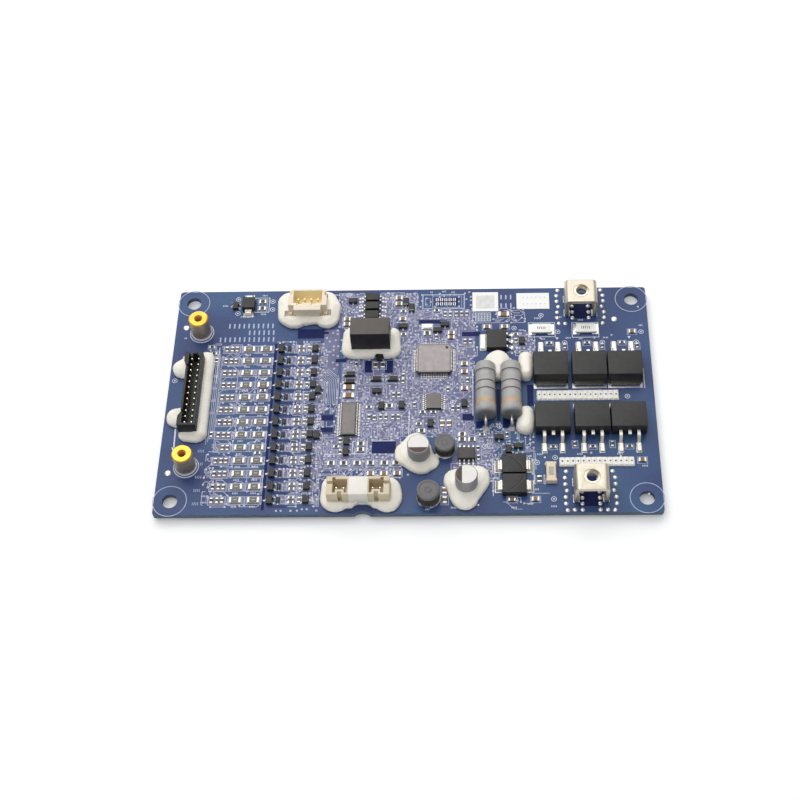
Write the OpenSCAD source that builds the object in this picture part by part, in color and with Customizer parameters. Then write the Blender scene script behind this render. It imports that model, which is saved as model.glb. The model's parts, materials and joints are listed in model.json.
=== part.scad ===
// Battery management board: a two-layer circuit board with its connectors,
// power transistors, screw terminals, chips and dabs of silicone.
// Millimetres. Origin at the centre of the board's footprint, on the plane that
// the trimmed pin tails stand on. +X runs along the board, +Y away from the
// edge with the two small sockets, +Z out of the component side.

/* [Board] */
// Length of the board along X
board_length = 142; // [141:1:150]
// Width of the board along Y
board_width = 78; // [78:1:84]
// Thickness of the laminate
board_thick = 1.6; // [1.2:0.1:2.0]
// Corner radius of the outline
corner_r = 1.0; // [0.5:0.5:3]
// How far the trimmed pins stand out below the board
tail = 1.6; // [1.0:0.1:2.0]

/* [Mounting holes] */
// Spacing of the mounting holes along X
mount_pitch_x = 133; // [130:1:133]
// Spacing of the mounting holes along Y
mount_pitch_y = 69; // [68:1:70]
// Diameter of the mounting holes
mount_d = 4.3; // [3.2:0.1:4.5]

/* [Standoffs] */
// Outer diameter of a standoff
standoff_d = 5.8; // [5:0.1:6.5]
// Height of a standoff above the board
standoff_h = 7.5; // [6:0.5:10]
// Bore of the standoff's thread, before tapping
standoff_bore_d = 2.5; // [2.0:0.1:3.0]
// Depth of the standoff's blind bore
standoff_bore_depth = 6.0; // [4.0:0.5:6.0]

/* [Screw terminals] */
// Width of a terminal across its two legs
terminal_w = 9.6; // [9:0.1:10.5]
// Depth of a terminal along Y
terminal_depth = 8.3; // [7.5:0.1:9]
// Height of a terminal above the board
terminal_h = 7.8; // [6.5:0.1:9]
// Sheet thickness of a terminal
terminal_sheet = 1.2; // [1.0:0.1:1.4]
// Bore of the terminal's thread, before tapping
terminal_bore_d = 3.3; // [2.5:0.1:4.2]

/* [Cell header] */
// Pins in each of the header's two rows
header_rows = 12; // [4:1:12]
// Pin pitch of the header, both ways
header_pitch = 2.0; // [2.0:0.1:2.0]
// Height of the header's shroud
header_h = 6.2; // [5:0.1:8]

/* [Balancing rows] */
// Number of cell-balancing rows
cell_rows = 13; // [1:1:13]
// Distance from one balancing row to the next
row_pitch = 4.3; // [4.2:0.05:4.3]

/* [Power parts] */
// Height of a power transistor's moulded body
mosfet_h = 4.4; // [4.0:0.1:4.8]
// Diameter of a power resistor
resistor_d = 6.0; // [5:0.1:6.4]
// Length of a power resistor's body
resistor_l = 17.7; // [14:0.1:18]
// Height of the converter module
converter_h = 10.2; // [8:0.1:12]
// Height of an electrolytic capacitor with its base
capacitor_h = 7.7; // [5.5:0.1:8.5]

/* [Hidden] */
$fn = 48;

top = tail + board_thick;            // height of the component side
through = top + 1;                   // long enough to cut right through the board
standoff_xy = [[-63, 23.4], [-63, -23.4]];
tooling_holes = [[-68, 25.4], [-68, -25.4], [61, 27]];
tooling_d = 1.3;
terminal_x = 51;
terminal_y = 32;

// Cell header
header_x = -62.9;
header_y = -0.4;
header_w = 4.6;
header_l = (header_rows - 1) * header_pitch + 3.4;
header_wall = 0.6;
pin_w = 0.5;

// Sockets on the near edge
socket_y = -33.4;
socket_x = [-18.5, -8.4];
socket_outer = 3.7;                  // from the pins' middle to the thick outer wall
socket_inner = 2.3;                  // and to the thin wall that faces the other socket
socket_front = 2.6;
socket_back = 3.2;
socket_h = 5.8;
socket_pitch = 2.0;

// Connector on the far edge
far_x = -31.1;
far_y = 32.5;
far_w = 11.6;
far_depth = 6.0;
far_h = 5.4;
far_poles = 4;
far_pitch = 2.0;
far_foot = [3.1, 2.0, 1.0];
far_foot_x = 5.5;
far_foot_y = -4.0;                   // middle of the feet, in front of the housing's middle

// Power parts
mosfet_x = [41.2, 52.4, 62.8];
mosfet_w = 10.0;
mosfet_body_l = 8.9;
mosfet_tab_y = 3.0;                  // board centre line to a tab's end, both rows
mosfet_lead_pitch = 2.54;
resistor_x = [22.1, 29.5];
resistor_y = -0.2;
resistor_axis_z = resistor_d / 2 + 0.2;
wire_d = 0.8;
resistor_hole_y = 11.1;
capacitor_xy = [[3.1, -21.0], [16.5, -30.9]];
capacitor_d = 6.3;
inductor_xy = [[10.4, -18.5], [5.9, -34.1]];
inductor_scale = [1, 1.12];          // the second one is a size larger
surge_xy = [[29.85, -24.2], [29.85, -30.7]];
shunt_xy = [[39.1, 23.4], [52.3, 23.4]];
converter_xy = [-11.6, 18.0];
converter_w = 11.5;
converter_depth = 6.0;
converter_pitch = 2.54;

// Chips
controller_xy = [7.1, 12.4];
monitor_xy = [-17.4, -8.15];
driver_xy = [7.1, -2.4];
memory_xy = [16.5, -20.3];
regulator_xy = [25.6, 18.8];
opto_x = -11.8;
opto_y = [35.1, 31.8, 28.5];

// Balancing rows, counted from the far side
first_row_y = 17.1;
function row_y(i) = first_row_y - i * row_pitch;
function rows() = [for (i = [0 : cell_rows - 1]) row_y(i)];

// ---------------------------------------------------------------- helpers

module on_board() translate([0, 0, top]) children();

module at(places) for (p = places) translate([p[0], p[1], 0]) children();

// places turned by their third number, in degrees
module at_turned(places)
    for (p = places) translate([p[0], p[1], 0]) rotate(p[2]) children();

module box(size, z = 0)
    translate([-size[0] / 2, -size[1] / 2, z]) cube(size);

// block with bevelled upper edges along Y, as a moulded package has
module moulded(w, d, h, slope = 0.15) {
    translate([0, d / 2, 0]) rotate([90, 0, 0])
        linear_extrude(d)
            polygon([[-w / 2 + slope, 0], [-w / 2, h * 0.45], [-w / 2 + slope, h],
                     [w / 2 - slope, h], [w / 2, h * 0.45], [w / 2 - slope, 0]]);
}

// chip part lying along X, with raised metal caps at its ends
module chip(l, w, h, cap, lip = 0.06) {
    translate([0, w / 2, 0]) rotate([90, 0, 0])
        linear_extrude(w)
            polygon([[-l / 2, 0], [-l / 2, h], [-l / 2 + cap, h],
                     [-l / 2 + cap, h - lip], [l / 2 - cap, h - lip],
                     [l / 2 - cap, h], [l / 2, h], [l / 2, 0]]);
}

// gull-wing lead running out along +X from a package side at x = 0
module gull(reach, shoulder_z, foot, thick, width) {
    bend = reach - foot;
    translate([0, width / 2, 0]) rotate([90, 0, 0])
        linear_extrude(width)
            polygon([[0, shoulder_z], [0, shoulder_z + thick],
                     [bend * 0.55, shoulder_z + thick], [bend + thick * 0.6, thick],
                     [reach, thick], [reach, 0], [bend - thick * 0.2, 0],
                     [bend * 0.55 - thick * 0.5, shoulder_z]]);
}

// two facing rows of gull-wing leads on the sides x = -span and x = +span
module lead_rows(count, pitch, half_body, reach, z, foot, thick, width)
    for (side = [0, 180], i = [0 : count - 1])
        rotate(side)
            translate([half_body, (i - (count - 1) / 2) * pitch, 0])
                gull(reach, z, foot, thick, width);

// small three-legged transistor, long side along Y, lone leg on the -X side
module sot(l = 2.9, w = 1.4, h = 1.05) {
    lead_z = 0.45;
    reach = 0.55;
    moulded(w, l, h, 0.1);
    for (y = [-0.95, 0.95])
        translate([w / 2 - 0.1, y * l / 2.9, 0]) gull(reach + 0.1, lead_z, 0.3, 0.15, 0.42);
    rotate(180) translate([w / 2 - 0.1, 0, 0]) gull(reach + 0.1, lead_z, 0.3, 0.15, 0.42);
}

// two-legged diode lying along X
module diode(l = 2.7, w = 1.6, h = 1.0) {
    lead_z = 0.4;
    moulded(l, w, h, 0.1);
    for (side = [0, 180])
        rotate(side) translate([l / 2 - 0.15, 0, 0]) gull(0.65, lead_z, 0.3, 0.15, w * 0.45);
}

module chip_0603() chip(1.6, 0.8, 0.5, 0.3);
module chip_0805() chip(2.0, 1.25, 0.6, 0.4);
module chip_1206() chip(3.2, 1.6, 0.65, 0.5);

// low mound of silicone: a stack of shrinking discs to be hulled
module mound(x, y, r, h) {
    translate([x, y, 0]) {
        cylinder(r = r, h = h * 0.25, $fn = 28);
        cylinder(r = r * 0.93, h = h * 0.65, $fn = 28);
        cylinder(r = max(r - h * 0.8, r * 0.45), h = h, $fn = 28);
    }
}

// ---------------------------------------------------------------- the board

module outline()
    difference() {
        union() {
            for (x = [-1, 1], y = [-1, 1])
                translate([x * (board_length / 2 - corner_r), y * (board_width / 2 - corner_r)])
                    circle(corner_r);
            square([board_length - 2 * corner_r, board_width], center = true);
            square([board_length, board_width - 2 * corner_r], center = true);
        }
        // routed notch beside the sockets
        translate([-12.4, -board_width / 2 - 2.5]) circle(3.4);
    }

module pcb() {
    color([0.22, 0.30, 0.52])
    difference() {
        translate([0, 0, tail]) linear_extrude(board_thick) outline();
        for (x = [-1, 1], y = [-1, 1])
            translate([x * mount_pitch_x / 2, y * mount_pitch_y / 2, 0])
                cylinder(d = mount_d, h = through);
        at(tooling_holes) cylinder(d = tooling_d, h = through);
        at(standoff_xy) cylinder(d = standoff_d - 1.6, h = through);
        at(header_places()) cylinder(d = 0.8, h = through);
        at(socket_places()) cylinder(d = 0.8, h = through);
        at(converter_places()) cylinder(d = 0.8, h = through);
        at(resistor_holes()) cylinder(d = wire_d, h = through);
        at(terminal_places()) box([terminal_sheet + 0.1, 1.7, through]);
    }
}

function header_places() =
    [for (x = [-1, 1], i = [0 : header_rows - 1])
        [header_x + x * header_pitch / 2,
         header_y + (i - (header_rows - 1) / 2) * header_pitch]];
function socket_places() =
    [for (x = socket_x, s = [-1, 1]) [x + s * socket_pitch / 2, socket_y + 0.2]];
function converter_places() =
    [for (i = [0 : 3])
        [converter_xy[0] + (i - 1.5) * converter_pitch, converter_xy[1] - 1.6]];
function resistor_holes() =
    [for (x = resistor_x, s = [-1, 1]) [x, resistor_y + s * resistor_hole_y]];
function terminal_places() =
    [for (t = [-1, 1], s = [-1, 1], k = [-1, 1])
        [terminal_x + s * (terminal_w - terminal_sheet) / 2, t * terminal_y + k * 2.6]];

// rows of solder-filled vias beside a terminal; every third one is set inwards
function via_column(x, inward, y0, n) =
    [for (i = [0 : n - 1]) [x + (i % 3 == 0 ? inward : 0), y0 - i * 2.07]];

module solder_domes() {
    dome_r = 0.62;
    dome_h = 0.25;
    ball_r = (dome_r * dome_r + dome_h * dome_h) / (2 * dome_h);
    places = concat(
        via_column(44.0, 0.4, 38.1, 7), via_column(58.0, -0.6, 38.1, 7),
        via_column(44.0, 0.4, -25.8, 7), via_column(58.0, -0.6, -25.8, 7),
        // under the bridges, between their legs
        [for (x = [48.5, 53.4], y = [36.2, 34.1, 32.0, 29.8, 27.7, -28.3, -30.4, -32.4,
                                     -34.4, -36.2]) [x, y]],
        [for (x = [46.4, 48.5, 53.4, 55.4]) [x, -38.1]],
        [[46.3, 25.6]]);
    color([0.88, 0.88, 0.86])
    on_board() at(places)
        intersection() {
            translate([0, 0, dome_h - ball_r]) sphere(ball_r);
            cylinder(r = dome_r * 2, h = 1);
        }
}

// thick tinned copper runs that carry the battery current
module strip(x0, x1, y, w, lumps) {
    step = (x1 - x0) / lumps;
    translate([x0, y - w / 2, 0]) cube([x1 - x0, w, 0.35]);
    for (i = [0 : lumps - 1])
        translate([x0 + (i + 0.5) * step, y, 0.35]) box([step * 0.72, w * 0.86, 0.3]);
}

module solder_strips() {
    color([0.85, 0.85, 0.84])
    on_board() {
        strip(37.0, 60.6, -0.45, 3.3, 16);
        strip(42.7, 63.7, -22.9, 2.8, 14);
    }
}

// ---------------------------------------------------------------- fittings

module standoffs() {
    color([0.90, 0.72, 0.30])
    at(standoff_xy)
        difference() {
            union() {
                translate([0, 0, top]) cylinder(d = standoff_d, h = standoff_h - 0.3);
                translate([0, 0, top + standoff_h - 0.3])
                    cylinder(d1 = standoff_d, d2 = standoff_d - 0.6, h = 0.3);
                cylinder(d = standoff_d - 1.6, h = top + 0.1);
            }
            translate([0, 0, top + standoff_h - standoff_bore_depth])
                cylinder(d = standoff_bore_d, h = standoff_bore_depth + 1);
        }
}

// soldered skirt round the foot of each standoff
module standoff_solder() {
    r = standoff_d / 2;
    color([0.86, 0.86, 0.85])
    on_board() at(standoff_xy)
        rotate_extrude()
            polygon([[r, 0], [r + 0.75, 0], [r + 0.45, 0.2], [r + 0.15, 0.55], [r, 0.9]]);
}

// one folded sheet: a bridge with rounded shoulders on two pinned legs
module terminal(y) {
    r_out = 1.4;
    r_in = r_out - terminal_sheet;
    foot_z = 0.4;
    half = terminal_w / 2;
    translate([terminal_x, y, 0])
    difference() {
        union() {
            translate([0, terminal_depth / 2, top]) rotate([90, 0, 0])
                linear_extrude(terminal_depth)
                    difference() {
                        union() {
                            translate([-half, foot_z])
                                square([terminal_w, terminal_h - foot_z - r_out]);
                            translate([-half + r_out, foot_z])
                                square([terminal_w - 2 * r_out, terminal_h - foot_z]);
                            for (s = [-1, 1])
                                translate([s * (half - r_out), terminal_h - r_out])
                                    circle(r_out);
                        }
                        translate([-half + terminal_sheet, -1])
                            square([terminal_w - 2 * terminal_sheet, terminal_h - r_out + 1]);
                        translate([-half + r_out, -1])
                            square([terminal_w - 2 * r_out, terminal_h - terminal_sheet + 1]);
                        for (s = [-1, 1])
                            translate([s * (half - r_out), terminal_h - r_out])
                                circle(r_in);
                    }
            for (s = [-1, 1], k = [-1, 1])
                translate([s * (half - terminal_sheet / 2), k * 2.6, 0])
                    box([terminal_sheet, 1.6, top + foot_z + 0.2]);
        }
        translate([0, 0, top + terminal_h - terminal_sheet - 1])
            cylinder(d = terminal_bore_d, h = terminal_sheet + 2);
        // the legs are relieved between their pins
        translate([0, 0, top + foot_z])
            rotate([0, 90, 0]) cylinder(d = 2.2, h = terminal_w + 2, center = true);
    }
}

module terminal_far() color([0.82, 0.80, 0.74]) terminal(terminal_y);
module terminal_near() color([0.82, 0.80, 0.74]) terminal(-terminal_y);

// ---------------------------------------------------------------- connectors

// shrouded two-row header; its ends carry keyed ears on the outer side
module header_housing() {
    ear_l = 4.2;
    ear_w = 0.7;
    color([0.10, 0.10, 0.11])
    on_board() translate([header_x, header_y, 0])
        difference() {
            union() {
                box([header_w, header_l, header_h]);
                for (s = [-1, 1])
                    translate([-header_w / 2, s * header_l / 2, 0])
                        linear_extrude(header_h)
                            polygon([[0, 0], [-ear_w, 0], [-ear_w, -s * ear_l * 0.75],
                                     [0, -s * ear_l]]);
            }
            // pin well
            translate([0, 0, 2.0])
                box([header_w - 2 * header_wall, header_l - 2 * 0.7, header_h]);
            // keyways cut in the far wall, either side of the middle
            for (s = [-1, 1])
                translate([s * 1.15, header_l / 2, header_h])
                    box([0.9, 2.4, 3.0], -1.5);
            // lead-in slots of the outer wall, behind each ear
            for (s = [-1, 1])
                translate([-header_w / 2, s * (header_l / 2 - ear_l - 0.6), header_h])
                    box([2.0, 0.9, 2.4], -1.2);
            for (p = header_places())
                translate([p[0] - header_x, p[1] - header_y, -1])
                    box([pin_w, pin_w, 4]);
        }
}

module header_pins() {
    color([0.86, 0.84, 0.78])
    at(header_places()) {
        box([pin_w, pin_w, top + header_h - 1.2]);
    }
}

// upright connector: shouldered box, a plug guide in front and two feet
module far_connector_housing() {
    well = [8.8, 4.6];
    shoulder = 0.4;
    guide = [8.1, 1.8];
    floor = 1.2;
    front = -far_depth / 2;
    color([0.93, 0.89, 0.80])
    on_board() translate([far_x, far_y, 0])
        difference() {
            union() {
                box([far_w - 2 * shoulder, far_depth, far_h]);
                translate([0, front + 1.85, 0]) box([far_w, 3.7, far_h]);
                // plug guide, drawn in below its lip
                translate([0, front - guide[1] / 2 + 0.1, 0])
                    box([guide[0], guide[1] + 0.2, far_h]);
                for (s = [-1, 1])
                    translate([s * far_foot_x, far_foot_y, 0]) box(far_foot);
                for (s = [-1, 1])
                    translate([s * (far_w / 2 - 0.5), front - 0.4, 0]) box([1.0, 1.0, 2.2]);
            }
            // well for the mating plug, open upwards
            translate([0, 0.2, floor]) box([well[0], well[1], far_h]);
            // crenels along the front lip, and a slot in each side for the latch
            translate([-2.45, front + 0.5, far_h - 0.6]) box([1.8, 1.2, 1]);
            translate([1.9, front + 0.5, far_h - 0.6]) box([1.5, 1.2, 1]);
            for (s = [-1, 1])
                translate([s * far_w / 2, 1.4, far_h - 1.6]) box([1.6, 0.9, 2]);
            // the guide's underside is relieved and the front keeps two light grooves
            for (s = [-1, 1])
                translate([s * (guide[0] / 2 - 0.15), front - guide[1], -0.1])
                    box([0.5, 1.2, far_h - 1.8]);
            // slots that hold the contacts
            for (i = [0 : far_poles - 1])
                translate([(i - (far_poles - 1) / 2) * far_pitch, 0, -1]) {
                    box([0.5, 0.5, 4]);
                    translate([-0.25, 0, 0]) cube([0.5, far_depth, 1.3]);
                }
        }
}

module far_tails()
    translate([far_x, far_y, 0])
        for (i = [0 : far_poles - 1])
            translate([(i - (far_poles - 1) / 2) * far_pitch - 0.25, 0, 0])
                cube([0.5, far_depth / 2 + 1.2, 0.3]);

// blades standing in the well, each with a foot on the board behind the housing
module far_connector_contacts() {
    color([0.85, 0.78, 0.55])
    on_board() {
        at([for (i = [0 : far_poles - 1])
                [far_x + (i - (far_poles - 1) / 2) * far_pitch, far_y]])
            box([0.5, 0.5, far_h - 1.0]);
        far_tails();
    }
}

// bent hold-down tabs soldered beside the housing
module far_connector_tabs() {
    color([0.86, 0.86, 0.85])
    on_board() translate([far_x, far_y, 0])
        for (s = [0, 1])
            mirror([s, 0, 0]) translate([far_w / 2, -2.9, 0]) {
                cube([0.25, 3.4, 2.4]);
                cube([1.3, 3.4, 0.25]);
            }
}

// one two-pole socket, open upwards; a rib behind the front groove keys the plug
module socket() {
    well_w = 4.1;
    wall = 0.6;
    well_back = 2.3;
    floor = 1.2;
    high = socket_h + 1;
    difference() {
        translate([-socket_outer, -socket_front, 0])
            cube([socket_outer + socket_inner, socket_front + socket_back, socket_h]);
        difference() {
            translate([-well_w / 2, -socket_front + wall, floor])
                cube([well_w, socket_front - wall + well_back, high]);
            translate([0, -socket_front + wall, 0]) box([2.4, 2.0, high + 2]);
        }
        // front groove, back keyway, and the latch window in the outer wall
        translate([0, -socket_front, floor]) box([1.2, 2.0, high]);
        translate([-well_w / 2, well_back - 0.1, socket_h - 3]) cube([0.85, 0.7, high]);
        translate([-socket_outer - 1, 0.7, socket_h - 1.4])
            cube([socket_outer + 1 - well_w / 2 + 0.1, 1.0, 2]);
        for (s = [-1, 1])
            translate([s * socket_pitch / 2, 0.2, -1]) box([pin_w, pin_w, 4]);
    }
}

module socket_housings() {
    color([0.90, 0.86, 0.74])
    on_board() {
        translate([socket_x[0], socket_y, 0]) socket();
        translate([socket_x[1], socket_y, 0]) mirror([1, 0, 0]) socket();
    }
}

module socket_pins() {
    color([0.86, 0.84, 0.78])
    at(socket_places()) box([pin_w, pin_w, top + 4.6]);
}

// white compound that joins the two sockets
module socket_bridge() {
    x0 = socket_x[0] + socket_inner;
    color([0.93, 0.92, 0.89])
    on_board() translate([x0, socket_y - socket_front, 0])
        cube([socket_x[1] - socket_inner - x0, socket_front + socket_back, socket_h - 0.05]);
}

// ---------------------------------------------------------------- power parts

// children are drawn once for each transistor, with its tab towards +Y
module at_mosfets()
    on_board() {
        at([for (x = mosfet_x) [x, -mosfet_tab_y - 0.7]]) children();
        translate([0, mosfet_tab_y - 0.55, 0])
            at([for (x = mosfet_x) [x, 0]]) rotate(180) children();
    }

tab_thick = 1.3;
tab_out = 1.4;

module mosfet_bodies() {
    color([0.17, 0.17, 0.18])
    at_mosfets()
        difference() {
            translate([0, -tab_out, 0]) rotate([90, 0, 0]) rotate([0, -90, 0]) rotate([0, 0, 180])
                translate([0, 0, -mosfet_w / 2]) linear_extrude(mosfet_w)
                    polygon([[0.0, -tab_thick], [0.0, -tab_thick - 0.2],
                             [-0.3, -mosfet_h], [-mosfet_body_l + 0.35, -mosfet_h],
                             [-mosfet_body_l, -2.6], [-mosfet_body_l, -2.0],
                             [-mosfet_body_l + 0.3, -0.15], [-0.0, -0.15]]);
            // the tab lies in the body's underside
            translate([0, -mosfet_body_l / 2 + 0.4, -0.1])
                box([mosfet_w - 1.4, mosfet_body_l - 0.6, tab_thick + 0.1]);
            // grip notches in both flanks
            for (s = [-1, 1])
                translate([s * mosfet_w / 2, -tab_out - 3.2, 0]) box([0.5, 1.6, 2.0]);
            // leads leave through the end face
            for (x = [-1, 0, 1])
                translate([x * mosfet_lead_pitch, -tab_out - mosfet_body_l, 2.2])
                    box([0.9, 1.6, 0.5]);
        }
}

// lead of a power transistor in the YZ plane, leaving the body towards -Y
module mosfet_lead(foot = true) {
    z = 2.2;
    t = 0.5;
    start = 0.8;
    pts = foot
        ? [[start, z], [start, z + t], [-1.4, z + t], [-1.75, z + t - 0.15],
           [-2.85, t], [-4.9, t], [-4.9, 0], [-2.65, 0], [-2.45, 0.15],
           [-1.4, z]]
        : [[start, z], [start, z + t], [-1.3, z + t], [-1.3, z]];
    rotate([90, 0, 90]) translate([0, 0, -0.45]) linear_extrude(0.9) polygon(pts);
}

module mosfet_lead_frames() {
    color([0.84, 0.84, 0.82])
    at_mosfets() {
        // heat tab with chamfered outer corners
        linear_extrude(tab_thick)
            polygon([[-mosfet_w / 2 + 0.9, 0], [mosfet_w / 2 - 0.9, 0],
                     [mosfet_w / 2 - 0.7, -0.3], [mosfet_w / 2 - 0.7, -8.2],
                     [-mosfet_w / 2 + 0.7, -8.2], [-mosfet_w / 2 + 0.7, -0.3]]);
        for (x = [-1, 1])
            translate([x * mosfet_lead_pitch, -tab_out - mosfet_body_l, 0]) mosfet_lead();
        translate([0, -tab_out - mosfet_body_l, 0]) mosfet_lead(false);
    }
}

module shunt_resistors() {
    color([0.88, 0.87, 0.84]) on_board() at(shunt_xy) chip(6.4, 3.2, 0.9, 0.9);
}

// barrel with slightly swollen ends, turned about its own axis
module power_resistor_bodies() {
    r = resistor_d / 2;
    waist = r - 0.12;
    h = resistor_l / 2;
    color([0.60, 0.60, 0.58])
    on_board() at([for (x = resistor_x) [x, resistor_y]])
        translate([0, 0, resistor_axis_z]) rotate([90, 0, 0])
            rotate_extrude()
                difference() {
                    union() {
                        for (s = [-1, 1]) {
                            translate([0, s * (h - 2.2)]) square([2 * r, 2.8], center = true);
                            translate([0, s * (h - 0.8)])
                                square([2 * (r - 0.8), 1.6], center = true);
                            translate([r - 0.8, s * (h - 0.8)]) circle(0.8);
                        }
                        square([2 * waist, 2 * h - 4.4], center = true);
                    }
                    translate([-10, -h - 1]) square([10, 2 * h + 2]);
                    for (s = [-1, 1])
                        translate([0, s * h]) square([wire_d, 2.0], center = true);
                }
}

// wire that leaves a resistor's end, bends down and passes through the board
module power_resistor_leads() {
    bend = 1.0;
    start = resistor_l / 2 - 1.0;
    run = resistor_hole_y - bend - start;
    color([0.85, 0.84, 0.80])
    on_board() at([for (x = resistor_x) [x, resistor_y]])
        for (side = [0, 180])
            rotate(side) {
                translate([0, start, resistor_axis_z]) rotate([-90, 0, 0])
                    cylinder(d = wire_d, h = run);
                translate([0, start + run, resistor_axis_z - bend]) rotate([90, 0, 90])
                    rotate_extrude(angle = 90) translate([bend, 0]) circle(d = wire_d);
                translate([0, resistor_hole_y, -top])
                    cylinder(d = wire_d, h = top + resistor_axis_z - bend);
            }
}

module capacitor_cans() {
    r = capacitor_d / 2;
    h0 = 0.9;
    color([0.80, 0.80, 0.79])
    on_board() at(capacitor_xy)
        rotate_extrude()
            polygon([[0, h0], [r - 0.3, h0], [r - 0.3, h0 + 0.3], [r, h0 + 0.5],
                     [r, h0 + 1.1], [r - 0.25, h0 + 1.35], [r, h0 + 1.6],
                     [r, capacitor_h - 0.35], [r - 0.1, capacitor_h - 0.1],
                     [r - 0.35, capacitor_h], [0, capacitor_h]]);
}

module capacitor_bases() {
    w = capacitor_d + 0.3;
    cut = 1.5;
    color([0.12, 0.12, 0.13])
    on_board() at(capacitor_xy)
        difference() {
            linear_extrude(1.3)
                polygon([[-w / 2, -w / 2], [w / 2 - cut, -w / 2], [w / 2, -w / 2 + cut],
                         [w / 2, w / 2 - cut], [w / 2 - cut, w / 2], [-w / 2, w / 2]]);
            translate([0, 0, 0.9]) cylinder(d = capacitor_d - 0.6, h = 1);
            translate([0, 0, 1.2]) cylinder(d = capacitor_d, h = 1);
        }
}

inductor_d = 5.8;
inductor_h = 4.5;

module at_inductors()
    for (i = [0, 1])
        translate([inductor_xy[i][0], inductor_xy[i][1], 0])
            scale(inductor_scale[i]) children();

// drum core: two flanges on a narrower waist
module inductor_cores() {
    r = inductor_d / 2;
    color([0.20, 0.20, 0.21])
    on_board() at_inductors()
        rotate_extrude()
            polygon([[0, 0.2], [r, 0.2], [r, 1.1], [r - 1.2, 1.1],
                     [r - 1.2, inductor_h - 1.1], [r, inductor_h - 1.1],
                     [r, inductor_h - 0.2], [r - 0.2, inductor_h],
                     [0, inductor_h]]);
}

module inductor_windings() {
    r = inductor_d / 2;
    color([0.25, 0.16, 0.10])
    on_board() at_inductors()
        rotate_extrude()
            polygon([[r - 1.2, 1.1], [r - 0.3, 1.1], [r - 0.15, 1.4],
                     [r - 0.15, inductor_h - 1.4], [r - 0.3, inductor_h - 1.1],
                     [r - 1.2, inductor_h - 1.1]]);
}

surge_size = [7.0, 5.9, 2.3];
line_surge_size = [4.4, 3.7, 2.2];   // the smaller one at the line input
line_surge_xy = [-49.5, 33.3];

module surge_body(size, strap) {
    difference() {
        moulded(size[0], size[1], size[2], 0.25);
        for (s = [-1, 1]) {
            translate([s * size[0] / 2, 0, 1.0]) box([0.6, strap, 0.3]);
            translate([s * (size[0] / 2 - 0.7), 0, -0.1]) box([1.6, strap, 0.35]);
        }
    }
}

// straps that leave each end, run down it and turn in under the body
module surge_straps(size, strap)
    for (side = [0, 180])
        rotate(side)
            translate([size[0] / 2, strap / 2, 0]) rotate([90, 0, 0])
                linear_extrude(strap)
                    polygon([[-0.3, 1.0], [-0.3, 1.3], [0.45, 1.3], [0.6, 1.15],
                             [0.6, 0], [-1.4, 0], [-1.4, 0.25], [0.35, 0.25],
                             [0.35, 1.0]]);

module surge_diode_bodies() {
    color([0.18, 0.18, 0.18])
    on_board() {
        at(surge_xy) surge_body(surge_size, 3.0);
        at([line_surge_xy]) rotate(90) surge_body(line_surge_size, 2.0);
    }
}

module surge_diode_leads() {
    color([0.85, 0.85, 0.84])
    on_board() {
        at(surge_xy) surge_straps(surge_size, 3.0);
        at([line_surge_xy]) rotate(90) surge_straps(line_surge_size, 2.0);
    }
}

module chip_fuse() {
    color([0.84, 0.76, 0.62])
    on_board() translate([40.2, -26.6, 0]) {
        moulded(3.0, 6.2, 1.7, 0.3);
    }
}

module converter_module() {
    color([0.14, 0.14, 0.15])
    on_board() translate([converter_xy[0], converter_xy[1], 0])
        difference() {
            box([converter_w, converter_depth, converter_h]);
            // potting side stands on small corner feet
            translate([0, 0, -0.1]) box([converter_w - 1.2, converter_depth + 1, 0.4]);
            for (i = [0 : 3])
                translate([(i - 1.5) * converter_pitch, -1.6, 0]) box([pin_w, 0.3, 2]);
        }
}

module converter_pins() {
    color([0.86, 0.84, 0.78]) at(converter_places()) box([pin_w, 0.3, top + 2]);
}

// ---------------------------------------------------------------- chips

module controller_body() {
    side = 10;
    corner = 0.45;
    h = side / 2;
    color([0.30, 0.30, 0.31])
    on_board() translate([controller_xy[0], controller_xy[1], 0.1])
        difference() {
            linear_extrude(1.4)
                polygon([[-h + corner, -h], [h - corner, -h], [h, -h + corner],
                         [h, h - corner], [h - corner, h], [-h + corner, h],
                         [-h, h - corner], [-h, -h + corner]]);
            translate([h - 1.3, h - 1.3, 1.3]) cylinder(d = 1.1, h = 1);
        }
}

module controller_leads() {
    color([0.84, 0.84, 0.82])
    on_board() translate([controller_xy[0], controller_xy[1], 0])
        for (turn = [0, 90])
            rotate(turn) lead_rows(16, 0.5, 5, 1.0, 0.6, 0.5, 0.15, 0.24);
}

module monitor_body() {
    color([0.36, 0.36, 0.35])
    on_board() translate([monitor_xy[0], monitor_xy[1], 0.1]) moulded(4.4, 11.0, 1.0, 0.12);
}

module monitor_leads() {
    color([0.80, 0.78, 0.75])
    on_board() translate([monitor_xy[0], monitor_xy[1], 0])
        lead_rows(22, 0.5, 2.2, 1.0, 0.5, 0.5, 0.15, 0.24);
}

module driver_body() {
    color([0.32, 0.32, 0.31])
    on_board() translate([driver_xy[0], driver_xy[1], 0.1]) moulded(4.4, 5.0, 1.0, 0.12);
}

module driver_leads() {
    color([0.84, 0.84, 0.82])
    on_board() translate([driver_xy[0], driver_xy[1], 0])
        lead_rows(8, 0.65, 2.2, 1.0, 0.5, 0.5, 0.15, 0.28);
}

module memory_body() {
    color([0.28, 0.28, 0.27])
    on_board() translate([memory_xy[0], memory_xy[1], 0.15]) rotate(90)
        moulded(3.9, 4.9, 1.45, 0.15);
}

module memory_leads() {
    color([0.84, 0.84, 0.82])
    on_board() translate([memory_xy[0], memory_xy[1], 0]) rotate(90)
        lead_rows(4, 1.27, 1.95, 1.05, 0.7, 0.5, 0.2, 0.42);
}

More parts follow.
